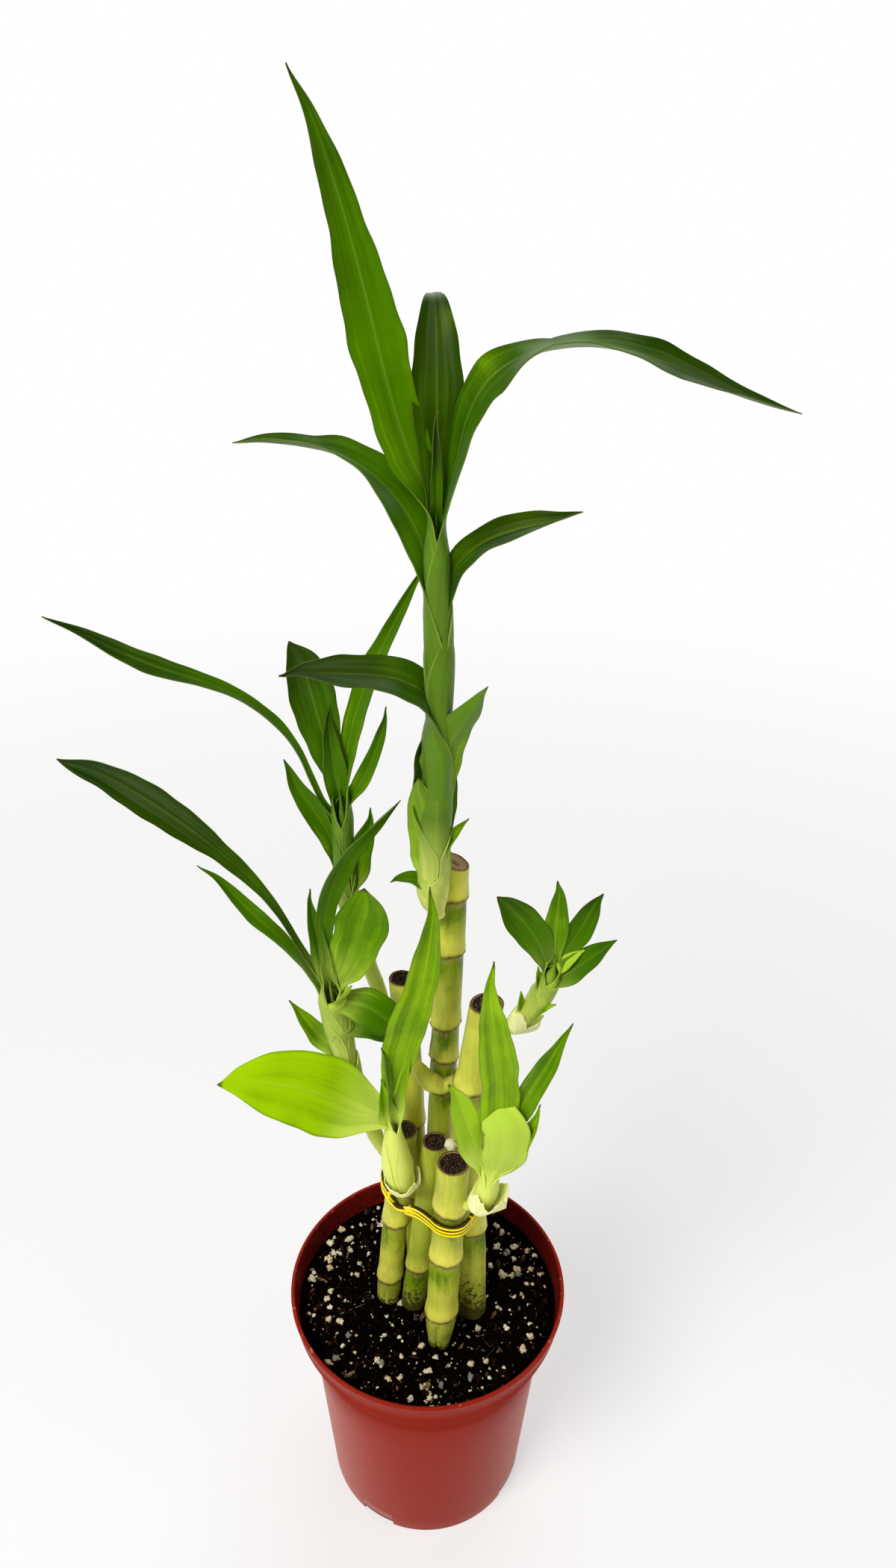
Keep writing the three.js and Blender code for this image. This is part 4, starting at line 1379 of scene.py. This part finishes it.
def sheath_points(path, travel, v, hold, opening, root_side):
    """Points of a leaf's sheath, wrapped round a path of the stem's middles, directions and radii."""
    middle, ahead, radius = path
    wrap_side = unit(root_side - ahead * (ahead @ root_side)[:, None])
    out = np.cross(wrap_side, ahead)
    wrap = np.radians(178 - 108 * smooth_step(-0.45 * hold, opening, travel))
    lift = -0.3 + 0.75 * smooth_step(-hold, 0, travel) + 0.6 * smooth_step(0, opening, travel)
    reach = np.maximum(radius, 1.1) + lift
    turn = wrap[:, None] * v
    return middle[:, None, :] + reach[:, None, None] * (
        np.cos(turn)[:, :, None] * out[:, None, :] + np.sin(turn)[:, :, None] * wrap_side[:, None, :]
    )


def grow_leaf(form, stem, leaf, index, blade, fade, stem_tone):
    """Adds one leaf: a sheath wrapped round the stem that opens into the blade."""
    height, heading, length, width, rises, rolls, (neck, fold, blunt, belly), tone = leaf
    start = stem.along_at_height(height)
    stations = midrib(stem.sample(np.array([start]))[0][0], heading, length, rises)
    hold = min(5 + 0.3 * length, 26, start - 1.5)
    opening = min(max(0.28 * length, 3.5), 17)
    step = 1.0 if length > 20 else 0.6
    travel = np.concatenate([np.arange(-hold, 0, step), np.linspace(0, length, int(length / step) + 1)])
    share = np.clip(travel / length, 0, 1)
    columns = 17 if width > 6 else 11
    v = np.linspace(-1, 1, columns)
    phase = 2.4 * index

    # The blade, folded at the midrib and waved, with a drawn-out tip that hooks a little
    level = np.cross([0, 0, 1], direction(heading))
    twist = 9 * np.sin(7 * share + phase) * share
    roll = np.radians(np.interp(share, np.linspace(0, 1, len(rolls)), rolls) + twist)[:, None]
    places, ahead, side, up = leaf_frame(stations, share, level, roll)
    half = width / 2 * width_share(share, neck, blunt, belly)
    uneven = 1 + (0.03 if width > 15 else 0.09) * wander(0.2 * travel, index + 50, 3)
    half = np.maximum(half * uneven, 0.25 * (1 - share) + 0.05)
    flatter = 1 - 0.6 * np.sin(math.pi * np.minimum(1, 1.6 * share)) ** 2
    raised = np.radians(fold * flatter + 22 * smooth_step(0.72, 1, share) * (blunt < 1 and fold > 9))
    soft = (np.sqrt(v**2 + 0.1**2) - 0.1) / (math.sqrt(1 + 0.1**2) - 0.1)
    wave = 0.09 * half * np.sin(math.pi * share)
    ripple = wave[:, None] * np.abs(v) * np.sin(9 * share[:, None] + phase + 1.5 * v)
    fine_wave = 0.03 * half[:, None] * v**2 * np.sin(0.55 * travel[:, None] + phase + 2 * v)
    bend = np.random.default_rng(100 + index).uniform(-1, 1)
    hook = bend * min(1.6, 0.03 * length) * smooth_step(0.86, 1.0, share) ** 2
    blade_points = (
        places[:, None, :]
        + side[:, None, :] * (v * (half * np.cos(raised))[:, None] + hook[:, None])[:, :, None]
        + up[:, None, :] * (soft * (half * np.sin(raised))[:, None] + ripple + fine_wave)[:, :, None]
    )

    # The sheath goes round the stem below the root and a little above it, and opens into the blade
    climb = max(0.1, math.sin(math.radians(rises[0])))
    path = stem.sample(start + np.where(travel > 0, travel * climb, travel))
    clasp = math.radians(rolls[0])
    root_side = level * math.cos(clasp) + np.cross(ahead[0], level) * math.sin(clasp)
    sheath = sheath_points(path, travel, v, hold, opening, root_side)
    top = sheath + (blade_points - sheath) * smooth_step(0, opening, travel)[:, None, None]
    normal = unit(np.cross(np.gradient(top, axis=0), np.gradient(top, axis=1)))
    thick = blade * (1 + 0.9 * hump(v, 0.1) * (1 - share[:, None])) * (1 - 0.5 * share[:, None] ** 2)
    under = top - normal * thick[:, :, None]

    # Values for the leaf's colour: its tone, and how pale it is towards the foot of the stem
    base = np.clip(0.95 - fade * (start + np.minimum(travel, 0)) / stem.length, 0, 1)
    pale_run = min((0.62 - 0.1 * fade) * length, 24)
    pale = np.maximum(base * (1 - smooth_step(-0.05 * hold, pale_run, travel)), tone - 1)
    tones = stem_tone + (min(tone, 1) - stem_tone) * smooth_step(-0.3 * hold, opening, travel)
    rows = {"share": share, "tone": tones, "pale": pale}
    form.add(
        np.vstack([top.reshape(-1, 3), under.reshape(-1, 3)]),
        *leaf_faces(len(travel), columns),
        across=np.tile(v, 2 * len(travel)),
        **{key: np.tile(np.repeat(row, columns), 2) for key, row in rows.items()},
    )


def grow_stem(form, stem, fade, tone):
    """Adds the stem, which starts inside the cane and runs out between the feet of the top leaves."""
    sides = 28
    along = np.concatenate([[-1.3, -0.6], np.linspace(0, stem.length, int(stem.length / 0.7))])
    middle, ahead, radius = stem.sample(along)
    radius = radius * (1 - 0.8 * smooth_step(0.72, 0.92, along / stem.length))
    points = tube_points(middle, ahead, radius * (1 + 0.03 * wander(0.9 * along, 5)) - 0.1, sides)
    pale = np.repeat(np.clip(0.95 - fade * along / stem.length, 0, 1), sides)
    form.add(points, tube_faces(len(along), sides), 1, across=0.5, share=0.3, tone=tone, pale=pale)


def build_shoot(name, shoot, materials):
    form = Form()
    stem = Stem(shoot.stem)
    tones = [min(leaf[-1], 1) for leaf in shoot.leaves]
    stem_tone = sum(tones) / len(tones)
    grow_stem(form, stem, shoot.fade, stem_tone)
    blade = look("leaf").blade / MM
    for index, leaf in enumerate(shoot.leaves):
        grow_leaf(form, stem, leaf, index, blade, shoot.fade, stem_tone)
    settle(form.piece(name + "_leaves", materials, 60), "leaf_green", name)


# Papery collars

def dry_sheath():
    """A papery sheath: pale straw green with brown torn edges and long fibres."""
    paint = Paint("dry_sheath", colour(250, 246, 196), Roughness=0.7, Specular_IOR_Level=0.12)
    fibre = paint.cloud(1.1, 5, 0.65, paint.place(1, 1, 0.25))
    paint.layer(fibre.step(0.35, 0.65), colour(234, 238, 142))
    paint.layer(fibre.times(0.5, paint.value("edge")).step(1.24, 1.38), colour(150, 104, 54))
    paint.bump(fibre, 0.25, 0.7)
    return paint.finish()


def build_collar(name, host, low, high, flare, side, finish, seed):
    points = np.array(SHOOTS[host].stem, float)
    sides = 96
    rows = 16
    turn = even_turns(sides)
    facing = 0.5 + 0.5 * np.cos(turn - math.radians(side))
    teeth = 0.16 * np.sin(5 * turn) + 0.1 * np.sin(7 * turn + 1) + 0.06 * wander(11 * turn, seed)
    up = np.linspace(0, 1, rows)[:, None]
    share = low + (high - low) * up * (1 + teeth)
    at = share * (len(points) - 1)
    radius = np.interp(at, range(len(points)), points[:, 3]) * 1.06 + 0.35
    frayed = 0.18 * up * wander(6 * turn, seed + 2)
    radius = radius + flare * up**1.4 * facing**2 + frayed - 0.3 * (1 - up) ** 2
    line = points[:, :3]
    middle, after, before = (
        curve_points(line, at.ravel() + step).reshape(rows, sides, 3) for step in (0, 0.02, -0.02)
    )
    shape = middle + radius[:, :, None] * round_line(unit(after - before), turn)
    form = Form().add(shape, tube_faces(rows, sides, False, False), edge=np.repeat(up, sides, 1).ravel())
    sleeve = form.piece(name + "_sleeve", [finish], 70)
    wall = sleeve.modifiers.new("Wall", "SOLIDIFY")
    wall.thickness = 0.3 * MM
    wall.offset = 1
    settle(sleeve, "papery_sheath", name)


# Stage

def floor_finish():
    """A plain matt floor that fades into the white of the backdrop."""
    tint = look("stage")
    paint = Paint("plain_floor", tint.floor, Roughness=0.75, Specular_IOR_Level=0.2)
    away = paint.node("ShaderNodeVectorMath", "Value", {"operation": "LENGTH"}, Vector=paint.place(1, 1, 0))
    share = away.step(150, 900).times(1 - tint.glow, tint.glow)
    white = paint.node("ShaderNodeEmission", Color=(1, 1, 1, 1), Strength=1)
    both = new_node(paint.tree, "ShaderNodeMixShader")
    for socket, value in zip(both.inputs, (share, Wire(paint.shader.outputs[0]), white)):
        plug(socket, value)
    plug(paint.tree.nodes["Material Output"].inputs["Surface"], Wire(both.outputs[0]))
    return paint.finish()


def backdrop_finish():
    paint = Paint("white_backdrop", (0, 0, 0, 1), Emission_Strength=1, Specular_IOR_Level=0)
    return paint.finish(Emission_Color=(1, 1, 1, 1))


def build_floor():
    """A round floor and a white backdrop all round it, which shows in reflections but casts no light."""
    reach = 5 / MM
    sides = 64
    rings, _ = turned([(reach, 0), (reach, reach)], sides)
    floor = Form().add(rings[:sides], [tuple(range(sides))])
    wall = Form().add(rings, [face[::-1] for face in tube_faces(2, sides, False, False)])
    backdrop = wall.piece("backdrop", [backdrop_finish()])
    backdrop.visible_diffuse = False
    backdrop.visible_shadow = False
    floor.piece("floor", [floor_finish()])


def add_light(name, location, size, power):
    """A square soft light that faces the plant's middle."""
    lamp = bpy.data.lights.new(name, "AREA")
    lamp.size = size
    lamp.energy = power
    piece = link(bpy.data.objects.new(name, lamp))
    piece.location = location
    aim = Vector(PLANT_MIDDLE) - Vector(location)
    piece.rotation_euler = aim.to_track_quat("-Z", "Y").to_euler()


def add_camera():
    pitch, yaw, roll = (math.radians(value) for value in (CAMERA_PITCH, CAMERA_YAW, CAMERA_ROLL))
    ahead = Vector((math.sin(yaw) * math.cos(pitch), math.cos(yaw) * math.cos(pitch), -math.sin(pitch)))
    level = ahead.cross(Vector((0, 0, 1))).normalized()
    upright = level.cross(ahead)
    right = level * math.cos(roll) + upright * math.sin(roll)
    top = upright * math.cos(roll) - level * math.sin(roll)
    camera = bpy.data.cameras.new("photo_view")
    camera.sensor_width = 36
    camera.sensor_fit = "AUTO"
    camera.lens = CAMERA_LENS
    camera.clip_start = 0.01
    piece = link(bpy.data.objects.new("photo_view", camera))
    turn = Matrix((right, top, -ahead)).transposed().to_4x4()
    piece.matrix_world = Matrix.Translation(Vector(CAMERA_PLACE) * MM) @ turn
    bpy.context.scene.camera = piece


def build_stage():
    build_floor()
    add_light("key_light", (-0.5, -0.6, 1.0), 0.5, 11)
    add_light("fill_light", (0.8, -0.4, 0.55), 0.6, 1.2)
    add_light("top_light", (0.15, 0.5, 1.1), 0.7, 3.4)
    world = bpy.data.worlds.new("even_light")
    world.use_nodes = True
    world.node_tree.nodes["Background"].inputs["Color"].default_value = (1, 1, 1, 1)
    world.node_tree.nodes["Background"].inputs["Strength"].default_value = look("stage").sky
    bpy.context.scene.world = world
    bpy.context.scene.view_settings.view_transform = "Standard"
    add_camera()


# Operators and panel

class BAMBOO_OT_pot(bpy.types.Operator):
    """Build the nursery pot with its collar, lip and drain notches"""

    bl_idname = "bamboo.pot"
    bl_label = "Nursery pot"

    def execute(self, context):
        build_pot()
        return {"FINISHED"}


class BAMBOO_OT_soil(bpy.types.Operator):
    """Build the soil with its crumbs, perlite, bark and fibres"""

    bl_idname = "bamboo.soil"
    bl_label = "Potting soil"

    def execute(self, context):
        build_soil()
        return {"FINISHED"}


class BAMBOO_OT_canes(bpy.types.Operator):
    """Build the cut canes with their ringed nodes"""

    bl_idname = "bamboo.canes"
    bl_label = "Canes"

    def execute(self, context):
        materials = [cane_skin(), cut_end()]
        for seed, (name, spec) in enumerate(CANES.items(), 1):
            build_cane(name, spec, seed, materials)
        return {"FINISHED"}


class BAMBOO_OT_tie(bpy.types.Operator):
    """Build the wire tie round the canes"""

    bl_idname = "bamboo.tie"
    bl_label = "Wire tie"

    def execute(self, context):
        build_tie()
        return {"FINISHED"}


class BAMBOO_OT_shoots(bpy.types.Operator):
    """Build the leafy shoots"""

    bl_idname = "bamboo.shoots"
    bl_label = "Leafy shoots"

    def execute(self, context):
        materials = [leaf_skin("leaf_upper", False), leaf_skin("leaf_under", True)]
        for name, spec in SHOOTS.items():
            build_shoot(name, spec, materials)
        return {"FINISHED"}


class BAMBOO_OT_collars(bpy.types.Operator):
    """Build the papery collars at the foot of three shoots"""

    bl_idname = "bamboo.collars"
    bl_label = "Papery collars"

    def execute(self, context):
        finish = dry_sheath()
        for seed, (name, values) in enumerate(COLLARS.items(), 1):
            build_collar(name, *values, finish, seed)
        return {"FINISHED"}


class BAMBOO_OT_stage(bpy.types.Operator):
    """Build the floor, lights and camera"""

    bl_idname = "bamboo.stage"
    bl_label = "Floor, light and camera"

    def execute(self, context):
        build_stage()
        return {"FINISHED"}


OPERATORS = [
    BAMBOO_OT_pot,
    BAMBOO_OT_soil,
    BAMBOO_OT_canes,
    BAMBOO_OT_tie,
    BAMBOO_OT_shoots,
    BAMBOO_OT_collars,
    BAMBOO_OT_stage,
]


class BAMBOO_PT_panel(bpy.types.Panel):
    """Lists what builds the plant, with its sizes and colours"""

    bl_label = "Lucky bamboo"
    bl_idname = "BAMBOO_PT_panel"
    bl_space_type = "VIEW_3D"
    bl_region_type = "UI"
    bl_category = "Lucky bamboo"

    def draw(self, context):
        for operator in OPERATORS:
            self.layout.operator(operator.bl_idname)
        for name, group in LOOKS.items():
            box = self.layout.box()
            for key in group.__annotations__:
                box.prop(look(name), key)


CLASSES = [*LOOKS.values(), *OPERATORS, BAMBOO_PT_panel]


def register():
    for item in CLASSES:
        bpy.utils.register_class(item)
    for name, group in LOOKS.items():
        setattr(bpy.types.Scene, "bamboo_" + name, bpy.props.PointerProperty(type=group))


def unregister():
    for name in LOOKS:
        delattr(bpy.types.Scene, "bamboo_" + name)
    for item in reversed(CLASSES):
        bpy.utils.unregister_class(item)


def main():
    register()
    bpy.ops.bamboo.stage()
    bpy.ops.bamboo.pot()
    bpy.ops.bamboo.soil()
    bpy.ops.bamboo.canes()
    bpy.ops.bamboo.tie()
    bpy.ops.bamboo.shoots()
    bpy.ops.bamboo.collars()
    bpy.context.view_layer.update()


if __name__ == "__main__":
    main()
